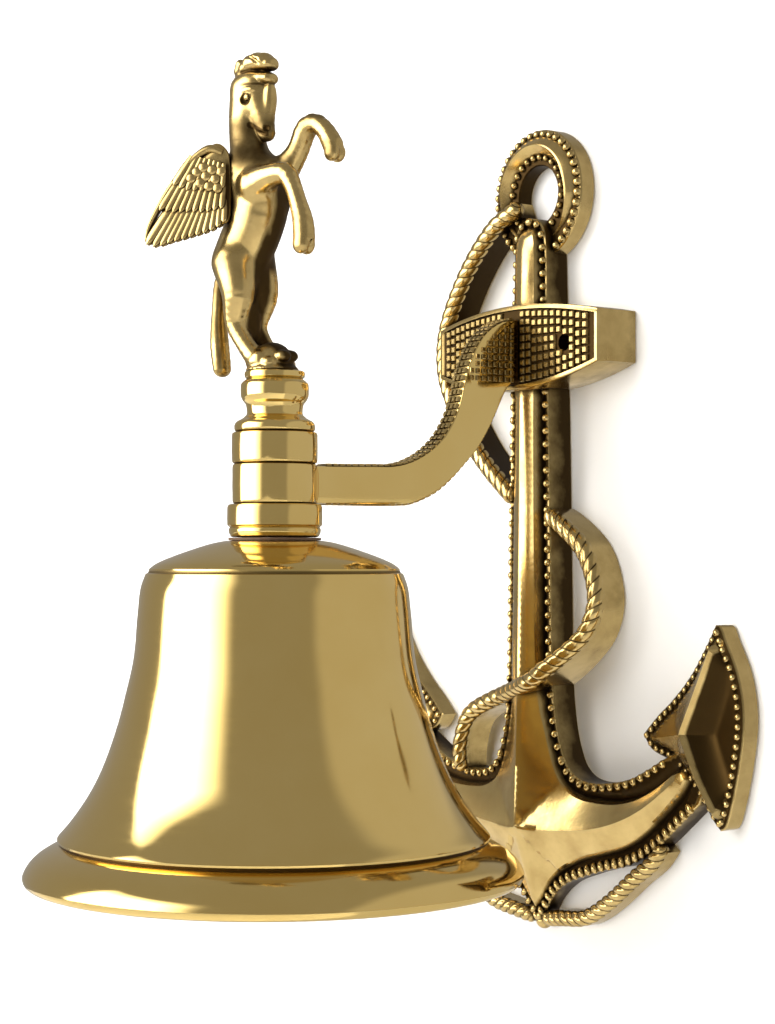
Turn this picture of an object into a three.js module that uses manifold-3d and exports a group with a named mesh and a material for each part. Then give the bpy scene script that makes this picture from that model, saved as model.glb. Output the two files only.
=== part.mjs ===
// Ship bell hung from an anchor-shaped wall bracket, with a winged horse finial.
// Millimetres, +Z up. The wall is the plane Y = 0 and the bracket stands out towards -Y.
// The origin is on the wall, behind the middle of the anchor's stock.
import * as THREE from 'three';
import { ConvexGeometry } from 'three/addons/geometries/ConvexGeometry.js';
import { mergeVertices } from 'three/addons/utils/BufferGeometryUtils.js';
import Module from 'manifold-3d';

const wasm = await Module();
wasm.setup();

// ---- Driving dimensions -------------------------------------------------------------------

const GAP = 0.3; // clearance between separate castings
const SEAT = 0.2; // clearance between stacked turned pieces

const BELL_Y = -109; // axis of the bell and of the stack over it
const BELL = { mouthRadius: 75, mouthZ: -166.5, crownZ: -64.2, crownThickness: 4.6 };
const CROWN_INSIDE = BELL.crownZ - BELL.crownThickness;

const CROWN_WASHER = { radius: 14, bottom: -64, top: -63.3 };
const FERRULE = { radius: 14.3, bottom: -63.1, top: -53.2 };
const HUB = { radius: 12.7, bottom: -53, top: -41.1 };
const COLLAR = { radius: 12.9, bottom: -40.9, top: -31.6 };
const PEDESTAL = { bottom: -31.4, top: -13.2 };

const STUD = { radius: 3.9, bore: 4.2, top: -18, bottom: -80.5 };
const NUT_WASHER = { radius: 9, bottom: CROWN_INSIDE - 1.4, top: CROWN_INSIDE - SEAT };
const NUT = { radius: 7.5, bottom: NUT_WASHER.bottom - 5.2, top: NUT_WASHER.bottom - SEAT };

const ARM_THICKNESS = 7;
const ARM_ROOT_Y = -17.6; // where the arm seats on the front of the stock
const ARM_SCREW = { radius: 1.6, headRadius: 3.1, headDepth: 2.2, tip: 27, heights: [4.4, -8] };

const STOCK = { halfLength: 41, middle: [-14.5, 13.2, 17.3], end: [-7.7, 8.6, 15.4] };
const WALL_HOLE = { x: 25, z: -0.8, radius: 2.7 };

const SHANK = { top: 41, bottom: -150, edgeDepth: 9.5 };
const RING = { z: 50.4, outer: 21.5, hole: 9.8, depth: 6.5 };
const CROWN = { z: -157, depth: 15.9 };
const TOE = { z: -186.5, depth: 5.8, ballRadius: 2.8 };
const ROPE = { halfWidth: 2.7, shoulder: 9.6, crest: 12.5 };
const SWAG = { halfWidth: 2.6, shoulder: 5.6, crest: 8 };

const EYE = { major: 3.3, wire: 1.6 }; // the eyes of the hanger and of the rod
const LINK = { wire: 1.4, straight: 5 };
const HANGER_PIVOT = -89.6; // the hanger eye's lowest wire, on which the link swings
const ROD_PIVOT = HANGER_PIVOT - LINK.straight - EYE.major; // the link's lowest wire
const BALL = { z: -154, radius: 11.5, halfHeight: 10 };
const ROD = { radius: 3, bottom: BALL.z - 13.4 };
const LANYARD_EYE = { major: 2.4, wire: 1.2, z: BALL.z - 17.4 };

const LIMB_END = 0.6; // how far a limb's end reaches past its last point, and the size of it there
const HORSE_HEADING = THREE.MathUtils.degToRad(15); // turned from +X towards the wall
const WING_THICKNESS = 2.2;

// ---- Materials ----------------------------------------------------------------------------

function metal(color, roughness) {
  return new THREE.MeshStandardMaterial({ color, roughness, metalness: 1 });
}

const POLISHED = metal(0xc8a860, 0.12);
const ANTIQUE = metal(0x9c7a3c, 0.35);
const STEEL = metal(0x8d9094, 0.35);
const LEATHER = new THREE.MeshStandardMaterial({ color: 0x4a3320, roughness: 0.8, metalness: 0 });

// ---- Geometry helpers ---------------------------------------------------------------------

const vec = (x, y, z) => new THREE.Vector3(x, y, z);
const mix = THREE.MathUtils.lerp;
const fraction = (value, from, to) => THREE.MathUtils.clamp((value - from) / (to - from), 0, 1);
const onSide = (side, points) => points.map(([x, ...rest]) => [x * side, ...rest]);

// A closed body through rings of points, all with the same count, capped at both ends.
function loft(rings) {
  const count = rings[0].length;
  const points = rings.flat();
  const indices = [];
  for (let r = 0; r + 1 < rings.length; r++) {
    for (let i = 0; i < count; i++) {
      const a = r * count + i;
      const b = r * count + ((i + 1) % count);
      indices.push(a, b, b + count, a, b + count, a + count);
    }
  }
  addCap(points, indices, 0, count, false);
  addCap(points, indices, (rings.length - 1) * count, count, true);
  return facingOut(points, indices);
}

// Closes a ring with a fan about its middle.
function addCap(points, indices, start, count, reversed) {
  const middle = new THREE.Vector3();
  for (let i = 0; i < count; i++) {
    middle.addScaledVector(points[start + i], 1 / count);
  }
  points.push(middle);
  for (let i = 0; i < count; i++) {
    const a = start + i;
    const b = start + ((i + 1) % count);
    indices.push(points.length - 1, reversed ? a : b, reversed ? b : a);
  }
}

// A geometry whose faces are turned round if its volume comes out negative.
function facingOut(points, indices) {
  let volume = 0;
  for (let i = 0; i < indices.length; i += 3) {
    const [a, b, c] = [points[indices[i]], points[indices[i + 1]], points[indices[i + 2]]];
    volume += a.dot(b.clone().cross(c));
  }
  const geometry = new THREE.BufferGeometry().setFromPoints(points);
  geometry.setIndex(volume < 0 ? indices.reverse() : indices);
  return geometry;
}

function toSolid(geometry) {
  const bare = geometry.clone();
  bare.deleteAttribute('normal');
  bare.deleteAttribute('uv');
  const merged = mergeVertices(bare, 1e-4);
  const mesh = new wasm.Mesh({
    numProp: 3,
    vertProperties: new Float32Array(merged.attributes.position.array),
    triVerts: new Uint32Array(merged.index.array),
  });
  return new wasm.Manifold(mesh);
}

function fromSolid(solid) {
  const mesh = solid.getMesh();
  const geometry = new THREE.BufferGeometry();
  geometry.setAttribute('position', new THREE.BufferAttribute(mesh.vertProperties, 3));
  geometry.setIndex(new THREE.BufferAttribute(mesh.triVerts, 1));
  geometry.computeVertexNormals();
  return geometry;
}

function join(...geometries) {
  return fromSolid(geometries.map(toSolid).reduce((sum, solid) => sum.add(solid)));
}

function cut(geometry, ...tools) {
  return fromSolid(tools.map(toSolid).reduce((rest, tool) => rest.subtract(tool), toSolid(geometry)));
}

// A turned piece about the Z axis, from [radius, height] points.
function turned(profile, segments = 28) {
  const points = profile.map(([radius, height]) => new THREE.Vector2(radius, height));
  return new THREE.LatheGeometry(points, segments).rotateX(Math.PI / 2);
}

function rodZ(radius, bottom, top, segments = 20) {
  return turned([[0, bottom], [radius, bottom], [radius, top], [0, top]], segments);
}

// A turned ring with a straight bore: its outside as [radius, height] points from the bottom up.
function bored(outside, bore, segments = 28) {
  const bottom = outside[0][1];
  const top = outside[outside.length - 1][1];
  return turned([[bore, bottom], ...outside, [bore, top], [bore, bottom]], segments);
}

// A round pin that stands out of the wall between two depths.
function pinFromWall(radius, x, z, from, to) {
  return new THREE.CylinderGeometry(radius, radius, to - from, 24).translate(x, -(from + to) / 2, z);
}

// A flat-backed slab on the wall, from an outline of [x, z] points.
function wallSlab(outline, depth) {
  const shape = new THREE.Shape(outline.map(([x, z]) => new THREE.Vector2(x, z)));
  return new THREE.ExtrudeGeometry(shape, { depth, bevelEnabled: false }).rotateX(Math.PI / 2);
}

// A smooth curve in the wall plane through [x, z] points.
function wallCurve(points) {
  return new THREE.CatmullRomCurve3(points.map(([x, z]) => vec(x, 0, z)), false, 'centripetal');
}

// A flat-backed strip on the wall along a curve. sizeAt gives its half width and the depths
// of its two shoulders and of its crest, for t from 0 to 1.
function strip(curve, steps, sizeAt) {
  const rings = [];
  for (let i = 0; i <= steps; i++) {
    const centre = curve.getPointAt(i / steps);
    const along = curve.getTangentAt(i / steps);
    const { halfWidth, shoulder, crest, back = 0 } = sizeAt(i / steps);
    const across = vec(-along.z, 0, along.x).multiplyScalar(halfWidth);
    const section = [[-1, back], [-1, shoulder], [-0.4, crest], [0.4, crest], [1, shoulder], [1, back]];
    rings.push(section.map(([side, depth]) => vec(0, -depth, 0).add(centre).addScaledVector(across, side)));
  }
  return loft(rings);
}

// A rounded limb through [x, y, z, radius] points. Its ends reach past the last points.
function limb(stations, sides = 8) {
  const centres = stations.map(([x, y, z]) => vec(x, y, z));
  const last = stations.length - 1;
  const rings = [];
  stations.forEach(([, , , radius], i) => {
    const along = centres[Math.min(i + 1, last)].clone().sub(centres[Math.max(i - 1, 0)]).normalize();
    const turn = new THREE.Quaternion().setFromUnitVectors(vec(0, 0, 1), along);
    const ringAt = (shift, size) => (
      circle(centres[i].clone().addScaledVector(along, shift * radius), turn, radius * size, sides)
    );
    if (i === 0) {
      rings.push(ringAt(-LIMB_END, LIMB_END));
    }
    rings.push(ringAt(0, 1));
    if (i === last) {
      rings.push(ringAt(LIMB_END, LIMB_END));
    }
  });
  return loft(rings);
}

function circle(centre, turn, radius, sides) {
  return Array.from({ length: sides }, (_, i) => {
    const angle = (2 * Math.PI * i) / sides;
    return vec(Math.cos(angle) * radius, Math.sin(angle) * radius, 0).applyQuaternion(turn).add(centre);
  });
}

// ---- Anchor -------------------------------------------------------------------------------

// The shank's five-sided section at a height, grown by a clearance.
function shankSection(z, grow = 0, narrow = 1) {
  const half = mix(8, 11, fraction(z, 22, -93)) * narrow + grow;
  const ridge = mix(12.4, CROWN.depth, fraction(z, 32, CROWN.z)) + grow;
  const edge = SHANK.edgeDepth + grow;
  const back = grow ? 1 : 0;
  const section = [[-half, back], [-half, -edge], [0, -ridge], [half, -edge], [half, back]];
  return section.map(([x, y]) => vec(x, y, z));
}

// The shank, grown by a clearance.
function shank(grow = 0) {
  const shoulders = [[SHANK.top, 0.3], [38, 0.7], [33, 0.95], [22, 1], [-35, 1], [-93, 1], [SHANK.bottom, 1]];
  return loft(shoulders.map(([z, narrow]) => shankSection(z, grow, narrow)));
}

// A washer-shaped slab round the ring's middle, grown by a clearance.
function anchorRing(grow = 0) {
  const back = grow ? -1 : 0;
  const outside = pinFromWall(RING.outer + grow, 0, RING.z, back, RING.depth + grow);
  const hole = pinFromWall(RING.hole - grow, 0, RING.z, back - 1, RING.depth + grow + 1);
  return cut(outside, hole);
}

// An arm from the crown out to its palm, grown by a clearance. side is 1 for the right.
function anchorArm(side, grow = 0) {
  const route = [[0, -158], [18, -157], [30, -155.2], [42, -152.7], [55.4, -145.9], [67, -137.2]];
  return strip(wallCurve(onSide(side, route)), 9, (t) => ({
    halfWidth: mix(18, 9.4, Math.sqrt(t)) + grow,
    shoulder: mix(8.5, 7, t) + grow,
    crest: mix(14.8, 11, t) + grow,
    back: grow ? -1 : 0,
  }));
}

// The palm at an arm's end: a curved shield with a raised ridge shaped like an arrowhead.
function palm(side) {
  const tip = [50.5, -124];
  const upper = [[64, -113], [72, -105], [79, -95], [82.3, -89.2], [86.9, -94.3]];
  const outer = [[91.5, -102.6], [94.1, -119.4], [92.8, -129], [89.5, -142.5], [84.3, -150.6]];
  const lower = [[79, -145], [64.7, -131.5], [54.8, -128.6]];
  const slab = wallSlab(onSide(side, [tip, ...upper, ...outer, ...lower]), 6.5);
  const ridgeMiddle = [73, -122.8];
  const ridgeEnds = [[84.5, -97.9], [84.8, -142.5]];
  const edges = [[upper[0], upper[2]], [lower[1], lower[0]]];
  const facets = ridgeEnds.map((end, i) => {
    const rim = [[53.5, -125.5], ...edges[i], [90, -120]];
    const corners = [[...ridgeMiddle, 13], [...end, 10.5], ...rim.map((point) => [...point, 6.6])];
    const base = [...rim, end].map((point) => [...point, 2]);
    return new ConvexGeometry([...corners, ...base].map(([x, z, depth]) => vec(x * side, -depth, z)));
  });
  return join(slab, ...facets);
}

// The wedge from the crown down to the toe, grown by a clearance, and the ball at its end.
function toe(grow = 0) {
  const edges = [[12, -150, 8.5], [19, -158, 8], [15, -171, 7], [4, -183, 5.5]];
  const points = [vec(0, -CROWN.depth, CROWN.z), vec(0, -TOE.depth - grow, TOE.z), vec(0, 0, TOE.z)];
  for (const [x, z, depth] of edges) {
    for (const side of [-1, 1]) {
      points.push(vec(side * (x + grow), grow, z - grow), vec(side * (x + grow), -depth - grow, z - grow));
    }
  }
  const { ballRadius } = TOE;
  const ball = new THREE.SphereGeometry(ballRadius + grow, 12, 8).translate(0, -ballRadius, TOE.z - 2.6);
  return join(new ConvexGeometry(points), ball);
}

// A countersunk screw from the wall side, grown by a clearance for the hole that it goes in.
function armScrew(z, grow = 0) {
  const { radius, headRadius, headDepth, tip } = ARM_SCREW;
  const head = grow ? -1 : GAP;
  const profile = [
    [0, head], [headRadius + grow, head], [headRadius + grow, GAP + 0.5], [radius + grow, GAP + headDepth],
    [radius + grow, tip + grow], [0, tip + grow],
  ];
  const points = profile.map(([r, depth]) => new THREE.Vector2(r, depth));
  return new THREE.LatheGeometry(points, 16).rotateX(Math.PI).translate(0, 0, z);
}

const armScrewHoles = () => ARM_SCREW.heights.map((z) => armScrew(z, GAP / 2));

function anchorCasting() {
  const pieces = [shank(), anchorRing(), anchorArm(1), anchorArm(-1), palm(1), palm(-1), toe()];
  return cut(join(...pieces), ...armScrewHoles());
}

// ---- Ropes cast against the anchor --------------------------------------------------------

// From the ring's hole round the left end of the stock and back to the shank.
function ropeUpper() {
  const route = wallCurve([
    [-6, 47.5], [-17.9, 41.8], [-33, 27.6], [-43.6, 10.3], [-45.4, 0], [-43.6, -9], [-35.5, -22.5],
    [-25.6, -34.6], [-13, -45.5], [-5, -52],
  ]);
  return cut(strip(route, 24, () => ROPE), shank(GAP), anchorRing(GAP));
}

// From the shank's right side out and down, over the shank, to the left arm.
function ropeLower() {
  const route = wallCurve([
    [6, -53.5], [15.1, -57.9], [28.1, -67.8], [33.4, -82], [30.8, -92], [24.4, -98.9], [9.3, -108.8],
    [-0.4, -111.7], [-17.6, -116.5], [-31.3, -123.1], [-36, -133], [-36.5, -141],
  ]);
  const rise = (t) => Math.exp(-(((t - 0.62) / 0.16) ** 2));
  const rope = strip(route, 26, (t) => ({
    halfWidth: ROPE.halfWidth,
    shoulder: mix(ROPE.shoulder, 16.6, rise(t)),
    crest: mix(ROPE.crest, 19, rise(t)),
  }));
  return cut(rope, shank(GAP), anchorArm(-1, GAP));
}

// A short rope that hangs between the toe and the underside of an arm.
function swagRope(side) {
  const route = [
    [2.5, -187.5], [11.7, -186.6], [24, -184.6], [34.7, -178.6], [47.2, -169], [55, -163.5], [60, -157.5],
  ];
  const rope = strip(wallCurve(onSide(side, route)), 12, () => SWAG);
  return cut(rope, anchorArm(side, GAP), toe(GAP));
}

// ---- Stock and bracket arm ----------------------------------------------------------------

// A bar whose [bottom, top, front] narrow from the middle to the ends along a parabola.
function anchorStock() {
  const rings = [-1, -0.75, -0.5, -0.25, 0, 0.25, 0.5, 0.75, 1].map((s) => {
    const [bottom, top, front] = STOCK.middle.map((value, i) => mix(value, STOCK.end[i], s * s));
    const section = [[0, bottom], [-front, bottom], [-front, top], [0, top]];
    return section.map(([y, height]) => vec(s * STOCK.halfLength, y, height));
  });
  const { x, z, radius } = WALL_HOLE;
  const wallHoles = [-1, 1].map((side) => pinFromWall(radius, side * x, z, -1, 20));
  return cut(loft(rings), shank(GAP), ...wallHoles, ...armScrewHoles());
}

// A plate in the YZ plane between two smooth edges of [y, z] points.
function sidePlate(upper, lower, thickness) {
  const [first, ...others] = upper.map(([y, z]) => new THREE.Vector2(y, z));
  const back = lower.map(([y, z]) => new THREE.Vector2(y, z));
  const shape = new THREE.Shape().moveTo(first.x, first.y).splineThru(others);
  shape.lineTo(back[0].x, back[0].y).splineThru(back.slice(1)).closePath();
  const options = { depth: thickness, bevelEnabled: false, curveSegments: 3 };
  const plate = new THREE.ExtrudeGeometry(shape, options);
  const axes = new THREE.Matrix4().makeBasis(vec(0, 1, 0), vec(0, 0, 1), vec(1, 0, 0));
  return plate.translate(0, 0, -thickness / 2).applyMatrix4(axes);
}

// The S-shaped arm and the ring on its end that the stack clamps.
function bracketArm() {
  const hubSide = BELL_Y + HUB.radius - 2;
  const upper = [[hubSide, -41.3], [-75, -40.9], [-60.2, -39.2], [-48.3, -31.9], [-41.5, -21.5],
    [-37.8, -9.2], [-30.5, 2.8], [-24, 7], [ARM_ROOT_Y, 8.2]];
  const lower = [[ARM_ROOT_Y, -11.2], [-23, -16.8], [-29.6, -28.7], [-39.4, -39.9], [-50.3, -48.5],
    [-60, -52.2], [-75, -52.8], [hubSide, -52.8]];
  const plate = sidePlate(upper, lower, ARM_THICKNESS);
  const hub = rodZ(HUB.radius, HUB.bottom, HUB.top, 32).translate(0, BELL_Y, 0);
  const bore = rodZ(STUD.bore, HUB.bottom - 5, HUB.top + 5).translate(0, BELL_Y, 0);
  return cut(join(plate, hub), bore, ...armScrewHoles());
}

// ---- Stack over the bell ------------------------------------------------------------------

function pedestal() {
  const { bottom, top } = PEDESTAL;
  const body = turned([
    [0, bottom], [12.2, bottom], [12.2, bottom + 2.2], [9.2, bottom + 4], [8.3, bottom + 6], [9, bottom + 9],
    [10.3, bottom + 12.6], [10.3, bottom + 14.6], [9, top - 1], [9, top], [0, top],
  ], 24);
  return cut(body, rodZ(STUD.bore, bottom - 5, STUD.top + GAP));
}

function chamferedRing({ radius, bottom, top }) {
  const edge = 0.6;
  return bored([
    [radius - edge, bottom], [radius, bottom + edge], [radius, top - edge], [radius - edge, top],
  ], STUD.bore);
}

function flatRing({ radius, bottom, top }) {
  return bored([[radius, bottom], [radius, top]], STUD.bore);
}

function crownNut() {
  const { radius, bottom, top } = NUT;
  return cut(rodZ(radius, bottom, top, 6), rodZ(STUD.bore, bottom - 1, top + 1));
}

function centreStud() {
  const { radius, bottom, top } = STUD;
  const lead = 0.8;
  return turned([
    [0, bottom], [radius - lead, bottom], [radius, bottom + lead], [radius, top - lead], [radius - lead, top],
    [0, top],
  ], 20);
}

// ---- Winged horse: its own X runs forwards, and Y to its left -------------------------------

function horse() {
  const trunk = limb([
    [-13, 0, 17, 8.3], [-12.2, 0, 24, 9], [-8.5, 0, 31, 9.2], [-6, 0, 38, 8.9], [-6.8, 0, 47, 7.8],
  ]);
  const neck = limb([[-7.5, 0, 46, 7.6], [-10.5, 0, 54, 6], [-12, 0, 64, 5.2], [-11.5, 0, 74, 4.8]]);
  const head = limb([[-9.5, 0, 76, 5], [-6, 0, 70, 4.8], [-3, 0, 63, 3.4], [-1.2, 0, 58.5, 2.7]]);
  const forelock = limb([[-10, 0, 79.5, 2.8], [-5, 0, 81, 2.6], [-1.5, 0, 78.5, 2.2]]);
  const leftForeleg = limb([
    [-3, 5, 46, 5.2], [4, 6, 54, 3.8], [9.8, 6, 62, 2.9], [15, 6, 60.5, 2.2], [20, 6, 52.5, 2.6],
  ]);
  const rightForeleg = limb([
    [-3, -5, 43, 5.2], [5, -6, 45, 3.8], [11.1, -6, 44.5, 3], [14.5, -6, 35, 2.2], [17.6, -6, 23, 2.8],
  ]);
  const hindLegs = [-1, 1].map((side) => limb([
    [-12.6, side * 4.2, 21, 7], [-11.5, side * 4.8, 10, 5.2], [-10.5, side * 4.2, 0, 3.4],
    [-6.5, side * 4, -6, 2.8], [-2.6, side * 4, -9.5, 2.8],
  ]));
  const tail = limb([
    [-20, 0, 18, 2.4], [-22.6, 0, 12, 1.6], [-23, 0, 3, 1.9], [-22.5, 0, -6, 2.5], [-21, 0, -12, 2.3],
  ]);
  const base = PEDESTAL.top + SEAT;
  const rock = turned([[0, base], [9, base], [8.8, -10], [6.5, -7], [0, -5.5]], 16).translate(-1, 0, 0);
  return join(trunk, neck, head, forelock, leftForeleg, rightForeleg, ...hindLegs, tail, rock);
}

// A thin wing that leaves the shoulder backwards and outwards.
function wing(side) {
  const outline = [[0, 5], [2.3, 8], [6.7, 11.2], [13.1, 5.5], [21.8, -6.7], [26, -17.6], [23.9, -19.7],
    [17.4, -19.3], [12.4, -16.5], [6.7, -15.8], [0, -13]];
  const shape = new THREE.Shape(outline.map(([along, up]) => new THREE.Vector2(along, up)));
  const plate = new THREE.ExtrudeGeometry(shape, { depth: WING_THICKNESS, bevelEnabled: false });
  const back = vec(-0.87, side * 0.5, 0).normalize();
  const up = vec(0, 0, 1);
  const axes = new THREE.Matrix4().makeBasis(back, up, back.clone().cross(up));
  return plate.translate(0, 0, -WING_THICKNESS / 2).applyMatrix4(axes).translate(-11.3, side * 9, 44);
}

// ---- Bell ---------------------------------------------------------------------------------

function bell() {
  const { mouthRadius, mouthZ, crownZ } = BELL;
  const outside = [
    [15.4, crownZ], [26.5, -67.6], [36, -71.2], [38.6, -74.2], [40.2, -79], [40.8, -84], [42.2, -99.2],
    [44.5, -109.7], [47.2, -120], [51.7, -132.6], [55.9, -140.7], [61.2, -148.3], [64.4, -152.2],
    [67.6, -155.6], [mouthRadius - 1.2, -161], [mouthRadius, -164], [mouthRadius - 3.4, mouthZ],
  ];
  const inside = [
    [mouthRadius - 5, mouthZ + 0.5], [66, -160], [59, -153.5], [53.2, -143], [49.4, -134.5], [44.6, -121],
    [41.8, -110], [39.6, -99.5], [38.2, -85], [36.4, -77.5], [31, -73.5], [16, CROWN_INSIDE],
    [STUD.bore, CROWN_INSIDE],
  ];
  return turned([[STUD.bore, crownZ], ...outside, ...inside, [STUD.bore, crownZ]].reverse(), 40);
}

// ---- Clapper ------------------------------------------------------------------------------

// A round-wired ring that stands in the XZ plane.
function eyeRing({ major, wire }, z) {
  return new THREE.TorusGeometry(major, wire, 10, 24).rotateX(Math.PI / 2).translate(0, 0, z);
}

// The eye on the lower end of the stud: a bored boss with a ring below it.
function clapperHanger() {
  const ringZ = HANGER_PIVOT + EYE.major;
  const top = NUT.bottom - SEAT;
  const boss = rodZ(5.6, ringZ + EYE.major, top);
  return cut(join(boss, eyeRing(EYE, ringZ)), rodZ(STUD.bore, STUD.bottom - GAP, top + 1));
}

// A link in the YZ plane: a ring whose lower half is drawn down by the link's straight length.
function clapperLink() {
  const ring = new THREE.TorusGeometry(EYE.major, LINK.wire, 10, 24).rotateY(Math.PI / 2);
  const position = ring.attributes.position;
  for (let i = 0; i < position.count; i++) {
    if (position.getZ(i) < -1e-4) {
      position.setZ(i, position.getZ(i) - LINK.straight);
    }
  }
  return ring.translate(0, 0, HANGER_PIVOT);
}

function clapperRod() {
  return join(eyeRing(EYE, ROD_PIVOT), rodZ(ROD.radius, ROD.bottom, ROD_PIVOT - EYE.major + 0.4, 16));
}

function clapperBall() {
  const limit = Math.asin(BALL.halfHeight / BALL.radius);
  const outside = [-1, -0.75, -0.5, -0.25, 0, 0.25, 0.5, 0.75, 1].map((s) => (
    [BALL.radius * Math.cos(s * limit), BALL.z + BALL.radius * Math.sin(s * limit)]
  ));
  return bored(outside, ROD.radius + GAP, 24);
}

// The eye nut that holds the ball on the rod, with its ring for a lanyard.
function lanyardEye() {
  const top = BALL.z - BALL.halfHeight - SEAT;
  const boss = rodZ(4.6, LANYARD_EYE.z + LANYARD_EYE.major, top);
  const bore = rodZ(ROD.radius + GAP, ROD.bottom - GAP, top + 1);
  return cut(join(boss, eyeRing(LANYARD_EYE, LANYARD_EYE.z)), bore);
}

// ---- Assembly -----------------------------------------------------------------------------

function named(name, geometry, material) {
  const mesh = new THREE.Mesh(geometry, material);
  mesh.name = name;
  return mesh;
}

const wallGroup = new THREE.Group();
wallGroup.add(
  named('anchor_casting', anchorCasting(), ANTIQUE),
  named('anchor_rope_upper', ropeUpper(), ANTIQUE),
  named('anchor_rope_lower', ropeLower(), ANTIQUE),
  named('swag_rope_left', swagRope(-1), ANTIQUE),
  named('swag_rope_right', swagRope(1), ANTIQUE),
  named('anchor_stock', anchorStock(), ANTIQUE),
  named('bracket_arm', bracketArm(), POLISHED),
  named('arm_screw_upper', armScrew(ARM_SCREW.heights[0]), STEEL),
  named('arm_screw_lower', armScrew(ARM_SCREW.heights[1]), STEEL),
);

const stackGroup = new THREE.Group();
stackGroup.position.y = BELL_Y;
stackGroup.add(
  named('finial_pedestal', pedestal(), POLISHED),
  named('upper_collar', chamferedRing(COLLAR), POLISHED),
  named('lower_ferrule', chamferedRing(FERRULE), POLISHED),
  named('centre_stud', centreStud(), STEEL),
  named('crown_washer', flatRing(CROWN_WASHER), LEATHER),
  named('bell', bell(), POLISHED),
  named('nut_washer', flatRing(NUT_WASHER), STEEL),
  named('crown_nut', crownNut(), STEEL),
  named('clapper_hanger', clapperHanger(), STEEL),
  named('clapper_link', clapperLink(), STEEL),
  named('clapper_rod', clapperRod(), POLISHED),
  named('clapper_ball', clapperBall(), POLISHED),
  named('lanyard_eye', lanyardEye(), POLISHED),
);

const horseGroup = new THREE.Group();
horseGroup.position.y = BELL_Y;
horseGroup.rotation.z = HORSE_HEADING;
horseGroup.add(
  named('finial_horse', horse(), ANTIQUE),
  named('finial_wing_left', wing(1), ANTIQUE),
  named('finial_wing_right', wing(-1), ANTIQUE),
);

const shipBell = new THREE.Group();
shipBell.add(wallGroup, stackGroup, horseGroup);

export default shipBell;
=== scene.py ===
import math

import bpy
import numpy as np
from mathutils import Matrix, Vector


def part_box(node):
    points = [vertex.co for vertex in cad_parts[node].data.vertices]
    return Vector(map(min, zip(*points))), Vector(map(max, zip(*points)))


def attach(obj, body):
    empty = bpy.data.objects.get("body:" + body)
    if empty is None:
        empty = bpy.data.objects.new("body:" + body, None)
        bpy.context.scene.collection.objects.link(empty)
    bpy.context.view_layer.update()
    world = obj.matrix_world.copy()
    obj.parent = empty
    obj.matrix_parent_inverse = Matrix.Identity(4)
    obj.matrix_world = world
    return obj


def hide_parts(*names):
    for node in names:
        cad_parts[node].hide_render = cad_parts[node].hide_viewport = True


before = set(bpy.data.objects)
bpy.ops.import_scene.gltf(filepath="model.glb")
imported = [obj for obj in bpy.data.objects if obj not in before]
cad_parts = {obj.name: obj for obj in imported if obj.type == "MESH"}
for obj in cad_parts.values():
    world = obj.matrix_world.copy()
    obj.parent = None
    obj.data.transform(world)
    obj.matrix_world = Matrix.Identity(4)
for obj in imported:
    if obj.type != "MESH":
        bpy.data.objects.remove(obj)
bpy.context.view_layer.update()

import openvdb
from mathutils import Vector
from mathutils.geometry import delaunay_2d_cdt

# ---- Driving dimensions, in millimetres in the row frame: X right, Y into the wall, Z up -----------

MM = 0.001


def node_box(node):
    """Lowest and highest corner of a CAD node in millimetres."""
    return [np.array(corner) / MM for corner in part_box(node)]


BELL_LOW, BELL_HIGH = node_box("bell")
BELL_X, BELL_Y = ((BELL_LOW + BELL_HIGH) / 2)[:2]
BELL_AXIS = (BELL_X, BELL_Y)
MOUTH_RADIUS = (BELL_HIGH[0] - BELL_LOW[0]) / 2
CROWN_Z = BELL_HIGH[2]
MOUTH_Z = BELL_LOW[2]

PHOTO_AZIMUTH = math.radians(54)
PHOTO_CAMERA = Vector((523.9, -447.7, -70.0))
LENS, SENSOR, SHIFT_Y = 72.77, 36.0, 0.047

BEAD_INSET = 1.4
# Each back stands this far off the wall, so that no two of them coincide.
STOCK_BACK, RING_BACK, ROPE_BACK, PALM_BACK = 0.08, 0.16, 0.24, 0.32
STACK_BORE = 4.2
OUTLINE_STEP, PALM_STEP, ROPE_STEP = 0.8, 0.7, 0.4
RING_Z, RING_OUTER, RING_HOLE, RING_DEPTH = 50.4, 21.5, 9.8, 6.5
STAR_Z, STAR_DEPTH = -157.0, 15.9
TOE_Z, TOE_BALL = -186.3, 2.8
ROPE_RADIUS, ROPE_AXIS_DEPTH, ROPE_LAY = 3.0, 9.6, 11.5
SWAG_RADIUS, SWAG_AXIS_DEPTH, SWAG_LAY = 2.7, 5.5, 10.0
ARM_HALF = 3.5
STOCK_HALF = 41.0
KNURL_PITCH, KNURL_SIZE = 2.9, 2.5
WALL_HOLE_X, WALL_HOLE_Z, WALL_HOLE_RADIUS = 25.0, -0.8, 2.7


# ---- Shapes: each one is (points, faces, recess), recess from 0 on high spots to 1 at the darkest patina and painted shade ---

def shape(points, faces, recess=0.0):
    points = np.asarray(points, float)
    if np.isscalar(recess):
        recess = np.full(len(points), float(recess))
    return points, [tuple(int(i) for i in face) for face in faces], np.asarray(recess, float)


def merge(*shapes):
    points, faces, recess, start = [], [], [], 0
    for p, f, r in shapes:
        points.append(p)
        recess.append(r)
        faces += [tuple(i + start for i in face) for face in f]
        start += len(p)
    return np.concatenate(points), faces, np.concatenate(recess)


def mirrored(made):
    """The same shape on the other side of X = 0."""
    points, faces, recess = made
    return points * [-1, 1, 1], [face[::-1] for face in faces], recess


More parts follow.
